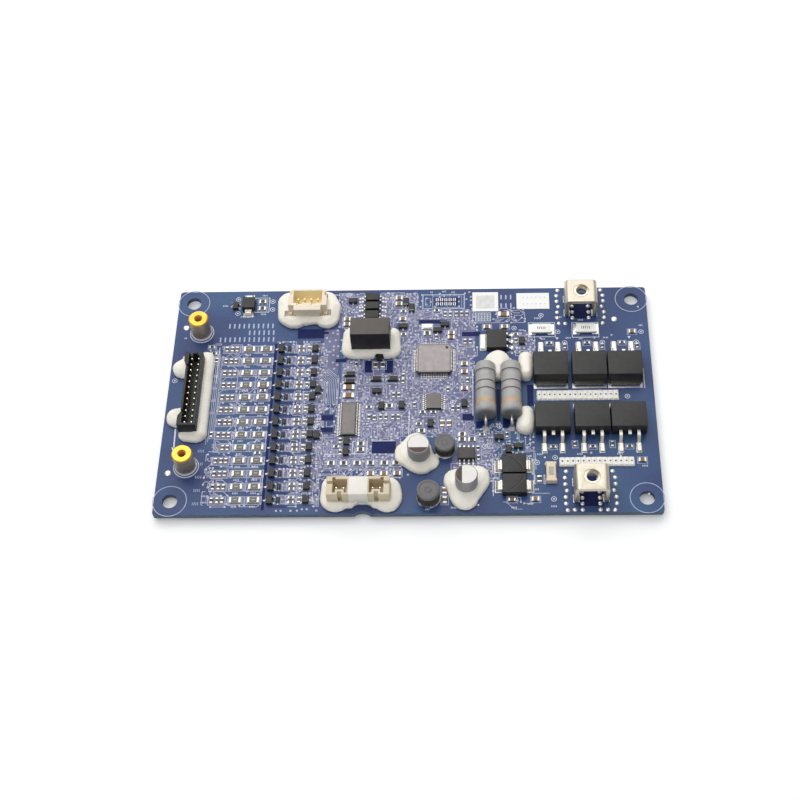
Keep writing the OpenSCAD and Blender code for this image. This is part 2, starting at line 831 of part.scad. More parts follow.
module regulator_body() {
    color([0.25, 0.25, 0.24])
    on_board() translate([regulator_xy[0], regulator_xy[1], 0])
        difference() {
            moulded(6.1, 6.5, 2.3, 0.2);
            translate([-1.0, 0, -0.1]) box([5.0, 5.4, 0.6]);
            for (y = [-1, 0, 1])
                translate([3.05, y * 2.29, 1.0]) box([0.8, 0.75, 0.5]);
        }
}

module regulator_lead_frame() {
    color([0.88, 0.88, 0.86])
    on_board() translate([regulator_xy[0], regulator_xy[1], 0]) {
        translate([-4.6, -2.7, 0]) cube([6.1, 5.4, 0.5]);
        for (y = [-1, 0, 1])
            translate([2.65, y * 2.29, 0]) gull(2.0, 1.0, 0.9, 0.5, 0.75);
    }
}

module optocoupler_bodies() {
    color([0.20, 0.20, 0.19])
    on_board() at([for (y = opto_y) [opto_x, y]])
        translate([0, 0, 0.1]) moulded(4.4, 2.6, 2.0, 0.25);
}

module optocoupler_leads() {
    color([0.86, 0.86, 0.85])
    on_board() at([for (y = opto_y) [opto_x, y]])
        lead_rows(2, 1.27, 2.2, 1.15, 0.85, 0.6, 0.2, 0.42);
}

// ---------------------------------------------------------------- small parts

module balance_resistors() {
    color([0.62, 0.62, 0.56])
    on_board() at([for (y = rows(), x = [-48.1, -43.0]) [x, y]]) chip_1206();
}

module filter_resistors() {
    color([0.42, 0.40, 0.36])
    on_board() at_turned([for (i = [0 : cell_rows - 1]) if (i != 8) [-54.8, row_y(i), 90]])
        chip_0603();
}

module filter_capacitors() {
    color([0.64, 0.55, 0.40])
    on_board() at_turned([for (y = rows(), x = [-53.2, -51.8]) [x, y, 90]]) chip_0603();
}

module balance_transistors() {
    color([0.25, 0.24, 0.24]) on_board() at([for (y = rows()) [-38.5, y]]) sot();
}

module gate_diodes() {
    color([0.14, 0.14, 0.15])
    on_board() at_turned([for (y = rows()) [-36.1, y, 90]]) diode(1.3, 0.9, 0.8);
}

module sense_resistors() {
    color([0.50, 0.48, 0.42])
    on_board() {
        at([for (y = rows(), s = [-0.75, 0.75]) [-32.5, y + s]]) chip_0603();
        at_turned([for (y = rows()) [-30.2, y, 90]]) chip_0603();
    }
}

module level_transistors() {
    color([0.13, 0.13, 0.13])
    on_board() at_turned([for (y = rows()) [-28.4, y, 180]]) sot(2.4, 1.2, 0.95);
}

small_transistor_places = [
    [-53.6, 33.2, 0], [-17.8, 34.6, 90], [-2.4, 24.9, 90], [-9.2, 13.6, 0],
    [-9.6, 1.6, 90], [-17.8, -15.5, 0], [-17.8, -19.0, 0], [10.2, 25.4, 90],
    [8.0, 23.3, 90], [-8.1, -3.6, 0], [-2.2, -3.4, 0], [33.1, 19.0, 0],
    [6.2, -9.7, 0], [25.8, -14.6, 90], [31.2, -17.6, 90], [28.4, -18.6, 0],
    [15.9, -3.0, 0], [-26.8, 2.2, 0], [-26.4, -13.4, 0]
];

module small_transistors() {
    color([0.15, 0.15, 0.15])
    on_board() at_turned(small_transistor_places) sot(2.6, 1.3, 1.0);
}

signal_diode_places = [
    [-9.9, 5.8, 0], [-5.0, 5.8, 0], [-17.7, 7.6, 0],
    [-17.7, 5.0, 0], [0.1, 31.7, 90], [-1.7, 33.9, 90]
];

module signal_diodes() {
    color([0.16, 0.16, 0.16])
    on_board() at_turned(signal_diode_places) diode();
}

capacitor_0805_places = [
    [12.1, 22.3, 0], [12.1, 20.7, 0], [22.8, 24.4, 0], [28.1, 24.4, 0],
    [10.4, -31.9, 90], [10.4, -34.9, 90], [-10.5, -26.2, 0], [-6.7, -26.2, 0],
    [-3.0, -26.2, 0], [29.1, -34.8, 0], [35.6, -34.8, 0], [9.6, -9.7, 90],
    [11.5, -9.7, 90], [66, 22.2, 0], [66, -22.4, 0], [16, 11.0, 0], [16, 8.2, 0],
    [16, 2.3, 0], [-3.8, 33.4, 0], [-3.8, 35.6, 0], [-2.5, 27.7, 0], [-19.3, 27.8, 0],
    [-19.3, 25.9, 0]
];
capacitor_1206_places = [[-17.8, 3.1, 0], [-17.8, 0.2, 0], [27.9, 29.1, 0]];

module chip_capacitors() {
    color([0.68, 0.52, 0.32])
    on_board() {
        at_turned(capacitor_0805_places) chip_0805();
        at_turned(capacitor_1206_places) chip_1206();
    }
}

resistor_0805_places = [
    [-45.4, 34.8, 0], [-45.4, 32.2, 0], [4.9, 22.2, 0], [-21.8, -22.8, 0],
    [-18.2, -22.8, 0], [-14.4, -22.8, 0], [-10.6, -22.8, 0], [-6.7, -22.8, 0],
    [-3.3, -22.8, 0], [-13.6, -16.4, 0], [-13.6, -18.3, 0], [36.9, -28.4, 90],
    [15.3, -13.5, 0], [15.3, -15.2, 0], [18.1, -15.2, 0], [3.7, -12.2, 0],
    [-5.8, -3.6, 0], [-10.2, 10.9, 90], [-8.1, 10.9, 90]
];
resistor_0603_places = [
    [-59.4, 18.0, 0], [-58.6, 15.6, 0], [-57.6, 13.2, 90], [-56.8, -12.8, 90],
    [-43, 2.2, 0], [-43, -19.1, 0], [16.2, 19.1, 90], [17.8, 19.1, 90],
    [1.5, -3.2, 90], [41.1, -17.9, 0], [52.3, -17.9, 0], [62.7, -17.9, 0],
    [2.8, -9.8, 0], [31.3, 21.5, 0], [31.3, 19.2, 90], [19.8, -18.2, 90],
    [-8.2, -7.4, 90], [-6.7, -7.4, 90], [-4.7, -7.4, 90], [-3.1, -7.4, 90],
    [-4.7, 0.2, 90], [-3.1, 0.2, 90], [12.6, -4.6, 90], [14.2, -4.6, 90],
    [-11.6, -7.3, 90], [-10.0, -7.6, 90], [-11.7, -3.9, 0], [-2.0, 6.9, 90],
    [-2.0, 5.1, 90], [-19.6, -15.2, 90], [-20.6, -17.2, 0], [-19.4, -19.1, 90],
    [-16.0, 11.2, 90], [-2.4, 30.6, 0], [-2.2, 22.0, 0], [7.7, 30.7, 0],
    [10.3, 29.4, 90], [11.8, 29.4, 90], [13.6, 29.4, 90], [15.2, 29.4, 90],
    [16.8, 29.4, 90], [7.6, 20.9, 90], [11.2, 2.0, 90], [16.9, 5.3, 90],
    [3.9, -5.8, 0], [7.0, -5.8, 0], [28.1, -13.7, 90], [21.0, -13.6, 0],
    [19.9, -21.2, 90], [57.9, -17.0, 90], [47.3, -17.0, 90], [45.8, 17.0, 90],
    [56.8, 17.0, 90], [67.2, 17.0, 90], [41.2, 18.2, 0], [52.4, 18.2, 0],
    [62.8, 18.2, 0]
];

module chip_resistors() {
    color([0.34, 0.34, 0.32])
    on_board() {
        at_turned(resistor_0805_places) chip_0805();
        at_turned(resistor_0603_places) chip_0603();
    }
}

// quartz crystal: a lidded metal can on a ceramic base
module crystal_can() {
    l = 3.2;
    w = 1.5;
    r = 0.35;
    color([0.85, 0.85, 0.84])
    on_board() translate([4.8, 24.7, 0]) {
        box([l, w, 0.3]);
        linear_extrude(0.8)
            union() {
                for (x = [-1, 1], y = [-1, 1])
                    translate([x * (l / 2 - 0.15 - r), y * (w / 2 - 0.12 - r)]) circle(r);
                square([l - 0.3 - 2 * r, w - 0.24], center = true);
                square([l - 0.3, w - 0.24 - 2 * r], center = true);
            }
    }
}

module paper_labels() {
    paper = 0.12;
    color([0.93, 0.93, 0.90])
    on_board() {
        translate([22.4, 34.0, 0]) box([7.8, 7.2, paper]);
        translate([36.8, 34.1, 0]) box([9.9, 6.0, paper]);
    }
}

// ---------------------------------------------------------------- silicone

module housing_block(x, y, w, d, h) translate([x, y, -0.5]) box([w, d, h + 0.5]);

module silicone_header() {
    color([0.92, 0.90, 0.86])
    on_board() difference() {
        union() {
            hull() {
                mound(-60.5, 13.2, 2.3, 2.6);
                mound(-60.5, -12.6, 2.4, 2.6);
            }
            hull() {
                mound(-60.9, -13.2, 2.4, 1.8);
                mound(-64.0, -12.9, 2.2, 1.8);
            }
            hull() {
                mound(-64.9, 11.0, 1.4, 1.2);
                mound(-64.9, -11.0, 1.5, 1.2);
            }
            hull() {
                mound(-67.2, 9.8, 3.0, 2.4);
                mound(-65.6, 11.6, 2.6, 2.0);
            }
            hull() {
                mound(-67.2, -7.4, 3.0, 2.4);
                mound(-65.6, -6.6, 2.4, 2.0);
            }
        }
        housing_block(header_x, header_y, header_w, header_l, header_h);
        for (s = [-1, 1])
            housing_block(header_x - header_w / 2, header_y + s * (header_l / 2 - 2.1), 1.4,
                          4.2, header_h);
    }
}

module silicone_far_connector() {
    color([0.92, 0.90, 0.86])
    on_board() difference() {
        union() {
            hull() {
                mound(-36.6, 33.4, 4.0, 2.8);
                mound(-35.2, 28.3, 3.9, 2.4);
                mound(-37.0, 28.8, 3.2, 2.4);
            }
            hull() {
                mound(-34.0, 29.0, 3.6, 2.0);
                mound(-26.0, 29.5, 3.0, 2.0);
            }
            hull() {
                mound(-25.4, 28.2, 3.7, 2.4);
                mound(-24.8, 31.5, 3.5, 3.2);
                mound(-25.9, 34.0, 3.4, 2.8);
            }
        }
        housing_block(far_x, far_y, far_w, far_depth, far_h);
        housing_block(far_x, far_y - far_depth / 2 - 0.5, 8.1, 2.6, far_h);
        for (s = [-1, 1])
            housing_block(far_x + s * (far_w / 2 - 0.5), far_y - far_depth / 2 - 0.4, 1.0, 1.0,
                          2.2);
        housing_block(far_x, far_y - 1.2, far_w + 0.5, 3.4, 2.4);
        housing_block(far_x, far_y - 1.2, far_w + 2.6, 3.4, 0.25);
        far_tails();
        for (s = [-1, 1])
            housing_block(far_x + s * far_foot_x, far_y + far_foot_y, far_foot[0], far_foot[1],
                          far_foot[2]);
    }
}

module silicone_converter() {
    color([0.92, 0.90, 0.86])
    on_board() difference() {
        union() {
            hull() {
                mound(-17.6, 16.2, 2.9, 2.2);
                mound(-17.6, 21.4, 2.5, 2.6);
            }
            hull() {
                mound(-17.4, 16.2, 3.0, 2.0);
                mound(-5.8, 16.2, 3.0, 2.0);
            }
            hull() {
                mound(-5.7, 16.2, 2.9, 2.2);
                mound(-5.7, 21.2, 2.5, 2.6);
            }
        }
        housing_block(converter_xy[0], converter_xy[1], converter_w, converter_depth,
                      converter_h);
        translate([converter_xy[0], converter_xy[1] + 4, -0.5]) box([converter_w, 4, 8]);
        translate([-9.2, 13.6, -0.5]) box([2.7, 2.8, 2]);
    }
}

module silicone_sockets() {
    color([0.92, 0.90, 0.86])
    on_board() difference() {
        union() {
            hull() {
                mound(-20.0, -34.2, 4.3, 2.0);
                mound(-20.6, -31.0, 3.5, 2.6);
            }
            hull() {
                mound(-19.0, -33.2, 4.0, 1.6);
                mound(-7.6, -33.4, 4.0, 1.6);
            }
            hull() {
                mound(-5.6, -34.2, 4.3, 2.0);
                mound(-5.4, -31.6, 3.6, 2.6);
            }
        }
        translate([socket_x[0] - socket_outer, socket_y - socket_front, -0.5])
            cube([socket_x[1] - socket_x[0] + 2 * socket_outer, socket_front + socket_back,
                  socket_h]);
        translate([-12.4, -39.4, -0.5]) cylinder(r = 3.6, h = 4);
    }
}

module silicone_capacitors() {
    color([0.92, 0.90, 0.86])
    on_board() difference() {
        union() {
            hull() {
                mound(0.2, -20.2, 4.1, 2.4);
                mound(2.4, -16.8, 3.4, 2.2);
                mound(3.6, -22.6, 4.0, 2.0);
            }
            hull() {
                mound(4.0, -22.2, 3.4, 1.8);
                mound(6.2, -22.6, 2.6, 1.4);
            }
            hull() {
                mound(13.4, -29.0, 3.4, 2.4);
                mound(19.2, -28.4, 3.9, 2.4);
                mound(16.0, -34.4, 3.7, 2.0);
            }
        }
        at(capacitor_xy) {
            translate([0, 0, -0.5]) cylinder(d = capacitor_d, h = 10);
            housing_block(0, 0, capacitor_d + 0.3, capacitor_d + 0.3, 1.3);
        }
        at_inductors() translate([0, 0, -0.5]) cylinder(d = inductor_d, h = 6);
        at([[10.4, -31.9], [10.4, -34.9]]) translate([0, 0, -0.5]) box([1.4, 2.2, 1.2]);
        translate([memory_xy[0], memory_xy[1], -0.5]) box([5.2, 6.4, 3]);
        translate([-3.3, -22.8, -0.5]) box([2.1, 1.4, 1.2]);
    }
}

module silicone_resistors() {
    color([0.92, 0.90, 0.86])
    on_board() difference() {
        union() {
            hull() {
                mound(25.7, 11.0, 3.4, 3.0);
                mound(25.7, 7.0, 2.2, 3.0);
            }
            hull() {
                mound(34.0, 11.8, 1.9, 3.0);
                mound(34.0, 6.6, 1.8, 3.2);
            }
            hull() {
                mound(33.7, -7.0, 2.0, 2.6);
                mound(33.3, -11.2, 2.3, 2.6);
            }
        }
        at([for (x = resistor_x) [x, resistor_y]])
            translate([0, 0, resistor_axis_z]) rotate([90, 0, 0])
                cylinder(d = resistor_d, h = resistor_l, center = true);
        at([for (x = resistor_x) [x, resistor_y]])
            translate([0, 0, resistor_axis_z])
                box([wire_d + 0.1, 2 * resistor_hole_y + wire_d + 0.1, 5], -4.4);
        translate([41.2, 0, -0.5]) box([mosfet_w, 40, 6]);
    }
}

// ---------------------------------------------------------------- build

pcb();
solder_domes();
solder_strips();
standoffs();
standoff_solder();
terminal_far();
terminal_near();
header_housing();
header_pins();
far_connector_housing();
far_connector_contacts();
far_connector_tabs();
socket_housings();
socket_pins();
socket_bridge();
mosfet_bodies();
mosfet_lead_frames();
shunt_resistors();
power_resistor_bodies();
power_resistor_leads();
controller_body();
controller_leads();
monitor_body();
monitor_leads();
driver_body();
driver_leads();
memory_body();
memory_leads();
regulator_body();
regulator_lead_frame();
optocoupler_bodies();
optocoupler_leads();
converter_module();
converter_pins();
capacitor_cans();
capacitor_bases();
inductor_cores();
inductor_windings();
surge_diode_bodies();
surge_diode_leads();
chip_fuse();
balance_resistors();
filter_resistors();
filter_capacitors();
balance_transistors();
gate_diodes();
sense_resistors();
level_transistors();
small_transistors();
signal_diodes();
chip_capacitors();
chip_resistors();
crystal_can();
paper_labels();
silicone_header();
silicone_far_connector();
silicone_converter();
silicone_sockets();
silicone_capacitors();
silicone_resistors();
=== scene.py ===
"""Looks of the battery management board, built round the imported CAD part.

Lengths are millimetres until a mesh is made; +X runs along the board and +Z out of the
component side. Places come from the CAD nodes' boxes wherever a node says them.
"""

import json
import random
from collections import namedtuple
from functools import cache
from math import cos, pi, radians, sin

import bmesh
import bpy
from mathutils import Matrix, Vector, noise


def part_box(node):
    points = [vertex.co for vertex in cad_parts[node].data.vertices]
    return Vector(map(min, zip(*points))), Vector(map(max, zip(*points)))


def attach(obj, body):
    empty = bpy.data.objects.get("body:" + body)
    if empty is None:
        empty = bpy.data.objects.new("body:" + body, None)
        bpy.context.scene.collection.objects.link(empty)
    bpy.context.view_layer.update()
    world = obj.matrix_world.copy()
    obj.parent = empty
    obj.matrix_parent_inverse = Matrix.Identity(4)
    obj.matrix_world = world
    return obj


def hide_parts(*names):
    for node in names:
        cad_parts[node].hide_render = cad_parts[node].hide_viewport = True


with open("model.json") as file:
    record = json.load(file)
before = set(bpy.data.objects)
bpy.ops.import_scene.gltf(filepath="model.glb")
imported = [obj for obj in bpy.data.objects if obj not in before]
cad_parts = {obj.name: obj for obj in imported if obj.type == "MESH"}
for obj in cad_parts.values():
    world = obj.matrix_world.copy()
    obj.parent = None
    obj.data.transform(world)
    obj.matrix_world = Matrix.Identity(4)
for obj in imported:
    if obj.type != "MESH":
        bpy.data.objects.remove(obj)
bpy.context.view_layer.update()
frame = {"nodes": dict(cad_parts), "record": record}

MM = 0.001
NODES = frame["nodes"]
MOUNTS = frame["record"]["mounts"]
BODY = "root"
Solid = namedtuple("Solid", "points lo hi mid size")


def measured(points):
    """Points in millimetres, with the corners, the middle and the size of their box."""
    lo, hi = (Vector(pick(p[i] for p in points) for i in range(3)) for pick in (min, max))
    return Solid(points, lo, hi, (lo + hi) / 2, hi - lo)


def whole(node):
    """The box of a CAD node."""
    return measured([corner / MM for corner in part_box(node)])


TOP, BACK = whole("pcb").hi.z, whole("pcb").lo.z
# heights over the board's face
PAD = 0.07  # tinned pads
PRINT = 0.05  # printed legend
TRACK = 0.03  # tracks under the mask


# ------------------------------------------------------------------ materials


def srgb(*color):
    """A colour given as 0..255 display values, as linear RGBA."""
    shares = (v / 255 for v in color)
    return (*(v / 12.92 if v <= 0.04045 else ((v + 0.055) / 1.055) ** 2.4 for v in shares), 1)


class Finish:
    """A Principled material with helpers for procedural colour, gloss and grain.

    Colours are display triples, or linear RGBA where they are reckoned from others.
    """

    def __init__(self, name, color, rough, metal=0.0, **sockets):
        self.mat = bpy.data.materials.new(name)
        self.mat.use_nodes = True
        self.tree = self.mat.node_tree
        self.inputs = self.tree.nodes["Principled BSDF"].inputs
        self.color = srgb(*color)
        sockets = {"Base_Color": self.color, "Roughness": rough, "Metallic": metal} | sockets
        for key, value in sockets.items():
            self.inputs[key.replace("_", " ")].default_value = value
        self.coords = self.tree.nodes.new("ShaderNodeTexCoord").outputs["Object"]
        self.normal = None

    def node(self, kind, inputs=(), **props):
        n = self.tree.nodes.new("ShaderNode" + kind)
        for key, value in props.items():
            setattr(n, key, value)
        for key, value in dict(inputs).items():
            if isinstance(value, bpy.types.NodeSocket):
                self.tree.links.new(value, n.inputs[key])
            else:
                n.inputs[key].default_value = value
        return n

    def feed(self, key, socket):
        """Drives one input of the shader."""
        self.tree.links.new(socket, self.inputs[key])
        return self

    def noise(self, size, detail=3, stretch=(1, 1, 1)):
        """Noise with features of that size in millimetres."""
        mapped = self.node("Mapping", {"Vector": self.coords, "Scale": stretch}).outputs[0]
        inputs = {"Vector": mapped, "Scale": 1 / (size * MM), "Detail": detail}
        return self.node("TexNoise", inputs).outputs["Fac"]

    def ramp(self, fac, stops, mode="LINEAR"):
        r = self.node("ValToRGB", {"Fac": fac})
        r.color_ramp.interpolation = mode
        for i, (pos, color) in enumerate(stops):
            e = r.color_ramp.elements[i] if i < 2 else r.color_ramp.elements.new(pos)
            e.position, e.color = pos, color if len(color) == 4 else srgb(*color)
        return r.outputs["Color"]

    def blend(self, fac, a, b, mode="MIX"):
        return self.node("MixRGB", {"Fac": fac, "Color1": a, "Color2": b}, blend_type=mode).outputs[0]

    def math(self, op, a, b=0.0):
        return self.node("Math", {0: a, 1: b}, operation=op).outputs[0]

    def axis(self, index, origin=0.0):
        """One object coordinate from an origin, in millimetres."""
        split = self.node("SeparateXYZ", {0: self.coords}).outputs[index]
        return self.math("SUBTRACT", self.math("DIVIDE", split, MM), origin)

    def around(self, x, y):
        """Offsets and distance from the nearer of two upright axes, at (x, y) and (x, -y)."""
        dx, dy = self.axis(0, x), self.math("SUBTRACT", self.math("ABSOLUTE", self.axis(1)), y)
        square = self.math("ADD", self.math("MULTIPLY", dx, dx), self.math("MULTIPLY", dy, dy))
        return dx, dy, self.math("SQRT", square)

    def facing(self, limit=0.6):
        """One on faces that look up or down, zero on the sides."""
        normal = self.node("NewGeometry").outputs["Normal"]
        up = self.node("SeparateXYZ", {0: normal}).outputs[2]
        return self.math("GREATER_THAN", self.math("ABSOLUTE", up), limit)

    def wander(self, size, amount):
        """The colour, brighter and darker by that share in patches of that size."""
        dark, light = (
            (*(min(v * k, 1) for v in self.color[:3]), 1) for k in (1 - amount, 1 + amount)
        )
        return self.ramp(self.noise(size), [(0.32, dark), (0.68, light)])

    def drift(self, size, amount):
        return self.feed("Base Color", self.wander(size, amount))

    def gloss(self, size, low, high):
        """Roughness wanders between two values."""
        span = {"From Min": 0.3, "From Max": 0.7, "To Min": low, "To Max": high}
        mapped = self.node("MapRange", {"Value": self.noise(size)} | span)
        return self.feed("Roughness", mapped.outputs[0])

    def rough_by(self, fac, off, on):
        """Roughness is one value where fac is zero and another where it is one."""
        return self.feed("Roughness", self.math("ADD", self.math("MULTIPLY", fac, on - off), off))

    def grain(self, size, depth, detail=2):
        """Bumps of that size and depth, in millimetres."""
        inputs = {"Height": self.noise(size, detail), "Distance": depth * MM, "Strength": 1.0}
        if self.normal:
            inputs["Normal"] = self.normal
        self.normal = self.node("Bump", inputs).outputs[0]
        return self.feed("Normal", self.normal)


def plastic(name, color, rough=0.5, grain=0.12, depth=0.012, drift=0.08):
    f = Finish(name, color, rough).drift(1.7, drift)
    return f.gloss(0.9, rough - 0.07, rough + 0.07).grain(grain, depth)


def metal(name, color, rough=0.3, grain=0.5, depth=0.01, drift=0.08):
    f = Finish(name, color, rough, 1.0).drift(0.8, drift)
    return f.gloss(0.5, max(rough - 0.1, 0.05), rough + 0.1).grain(grain, depth)


def lit_top_shaded_sides(name, top, side, rough=0.46, spread=0.1):
    """Moulded compound whose top is painted paler than its sides: painted light on the top, painted shade
    on the sides.
    """
    f = Finish(name, top, rough)
    # painted light: faces that look up or down take the paler top colour, the sides a darker painted
    # shade
    f.feed("Base Color", f.blend(f.facing(), srgb(*side), f.wander(1.6, spread)))
    return f.gloss(0.9, rough - 0.06, rough + 0.06).grain(0.09, 0.008)


def flecked(name, color, dark, share):
    """Ceramic with darker flecks, of which that share is fully dark."""
    f = Finish(name, color, 0.55)
    f.feed("Base Color", f.ramp(f.noise(0.22), [(share, dark), (share + 0.14, color)]))
    return f.gloss(0.6, 0.45, 0.65).grain(0.2, 0.01)


def mask_over(name, color, wander, shine=0.34):
    """Solder mask over copper or laminate."""
    return Finish(name, color, 0.4, Specular_IOR_Level=shine).drift(2.4, wander).grain(0.6, 0.008)


def board_material():
    """Blue solder mask; the routed edge shows the stained glass laminate."""
    f = Finish("laminate_mask", (56, 84, 132), 0.36, Specular_IOR_Level=0.34)
    broad = f.ramp(f.noise(23, 2), [(0.36, (50, 68, 116)), (0.52, (54, 78, 126)), (0.68, (60, 92, 134))])
    weave = f.ramp(f.noise(0.35, 1), [(0.35, (232, 232, 232)), (0.65, (255, 255, 255))])
    mask = f.blend(1.0, broad, weave, "MULTIPLY")
    strands = f.noise(0.5, 3, (0.25, 0.25, 3.0))
    fibres = f.ramp(strands, [(0.35, (64, 80, 104)), (0.65, (98, 116, 128))])
    flat = f.facing(0.5)
    f.feed("Base Color", f.blend(flat, fibres, mask)).rough_by(flat, 0.72, 0.36)
    return f.grain(1.4, 0.012).grain(0.3, 0.006)


def banded_barrel():
    """Grey lacquer with thin dark rings and a faint tan ring, across the barrel's axis."""
    grey, dark, tan = (172, 172, 170), (84, 52, 52), (196, 166, 140)
    f = Finish("resistor_lacquer", grey, 0.36)
    barrels = whole("power_resistor_bodies")
    along = f.math("DIVIDE", f.axis(1, barrels.lo.y), barrels.size.y)
    wobble = f.math("MULTIPLY", f.math("SUBTRACT", f.noise(2.5), 0.5), 0.012)
    stops = [(0.0, (112, 112, 114)), (0.1, grey), (0.15, grey), (0.19, tan), (0.25, tan), (0.29, grey)]
    for at in (0.45, 0.6, 0.82):
        stops += [(at - 0.016, grey), (at - 0.008, dark), (at + 0.008, dark), (at + 0.016, grey)]
    bands = f.ramp(f.math("ADD", along, wobble), stops)
    speck = f.ramp(f.noise(1.4, 2), [(0.3, (238, 238, 238)), (0.6, (255, 255, 255))])
    f.feed("Base Color", f.blend(1.0, bands, speck, "MULTIPLY"))
    return f.gloss(1.5, 0.28, 0.42).grain(1.6, 0.02)


def turned_brass():
    """Turned brass, bright yellow on the end faces and greyer and rougher on the sides: painted light,
    the lit end faces against a painted reflection of the dim room on the sides.
    """
    f = Finish("turned_brass", (244, 186, 76), 0.26, metal=1.0)
    shaded_side = f.ramp(f.noise(2.2), [(0.3, (190, 174, 150)), (0.7, (212, 196, 172))])
    bright = f.ramp(f.noise(0.8), [(0.3, (238, 176, 66)), (0.7, (250, 194, 88))])
    flat = f.facing(0.4)
    return f.feed("Base Color", f.blend(flat, shaded_side, bright)).rough_by(flat, 0.5, 0.3).grain(1.2, 0.004)


def transistor_frame():
    """Tin on the outer leads, bare smooth copper alloy on the tabs, which face the middle."""
    f = Finish("transistor_frame", (236, 232, 222), 0.4, metal=1.0)
    frames = whole("mosfet_lead_frames")
    off_middle = f.math("ABSOLUTE", f.axis(1, frames.mid.y))
    outer = f.math("GREATER_THAN", off_middle, frames.size.y / 2 - 5)
    f.feed("Base Color", f.blend(outer, srgb(196, 192, 184), srgb(234, 230, 220)))
    return f.rough_by(outer, 0.14, 0.46).grain(0.8, 0.004)


def countersink():
    """Coned rim of a tapped hole.

    The far half of the cone faces the dim room and is painted in shade, its near half faces the light and
    is painted lighter, and its outer edge is a darker band of painted shade.
    """
    f = Finish("countersink", (200, 192, 172), 0.42, metal=1.0)
    x, y, away = f.around(*whole("terminal_far").mid.xy)
    upward = f.math("MULTIPLY", y, f.math("SIGN", f.axis(1)))
    lit = f.math("DIVIDE", f.math("ADD", upward, f.math("MULTIPLY", x, 0.5)), away)
    cone = f.ramp(lit, [(0.0, (226, 216, 196)), (0.45, (206, 196, 172)), (1.0, (112, 102, 84))])
    lip = f.math("GREATER_THAN", away, 2.22)
    return f.feed("Base Color", f.blend(lip, cone, srgb(138, 128, 108)))


def skirt_finish():
    """Solder round the standoffs' feet, then a rim of mask and the printed ring."""
    f = Finish("solder_skirt", (222, 222, 222), 0.3, Specular_IOR_Level=0.6)
    skirts = whole("standoff_solder")
    radius = skirts.size.x / 2
    away = f.around(skirts.mid.x, skirts.size.y / 2 - radius)[2]
    # painted shadow: the solder next to the standoff is painted darker, as the standoff's shadow; then
    # solder, mask and the printed ring
    shade, solder, mask, ink = (120, 118, 116), (226, 226, 226), (62, 84, 132), (206, 210, 222)
    stops = [(0.0, shade), (0.7, solder), (0.86, mask), (0.93, ink)]
    f.feed("Base Color", f.ramp(f.math("DIVIDE", away, radius), stops, "CONSTANT"))
    return f.grain(0.8, 0.01)


def silicone_material():
    f = Finish("silicone", (246, 241, 229), 0.4, Specular_IOR_Level=0.4, Subsurface_Weight=0.1,
               Subsurface_Radius=(0.0012, 0.001, 0.0007), Subsurface_Scale=1.0)
    return f.drift(4.0, 0.03).gloss(2.5, 0.3, 0.5).grain(1.6, 0.04).grain(0.3, 0.004)


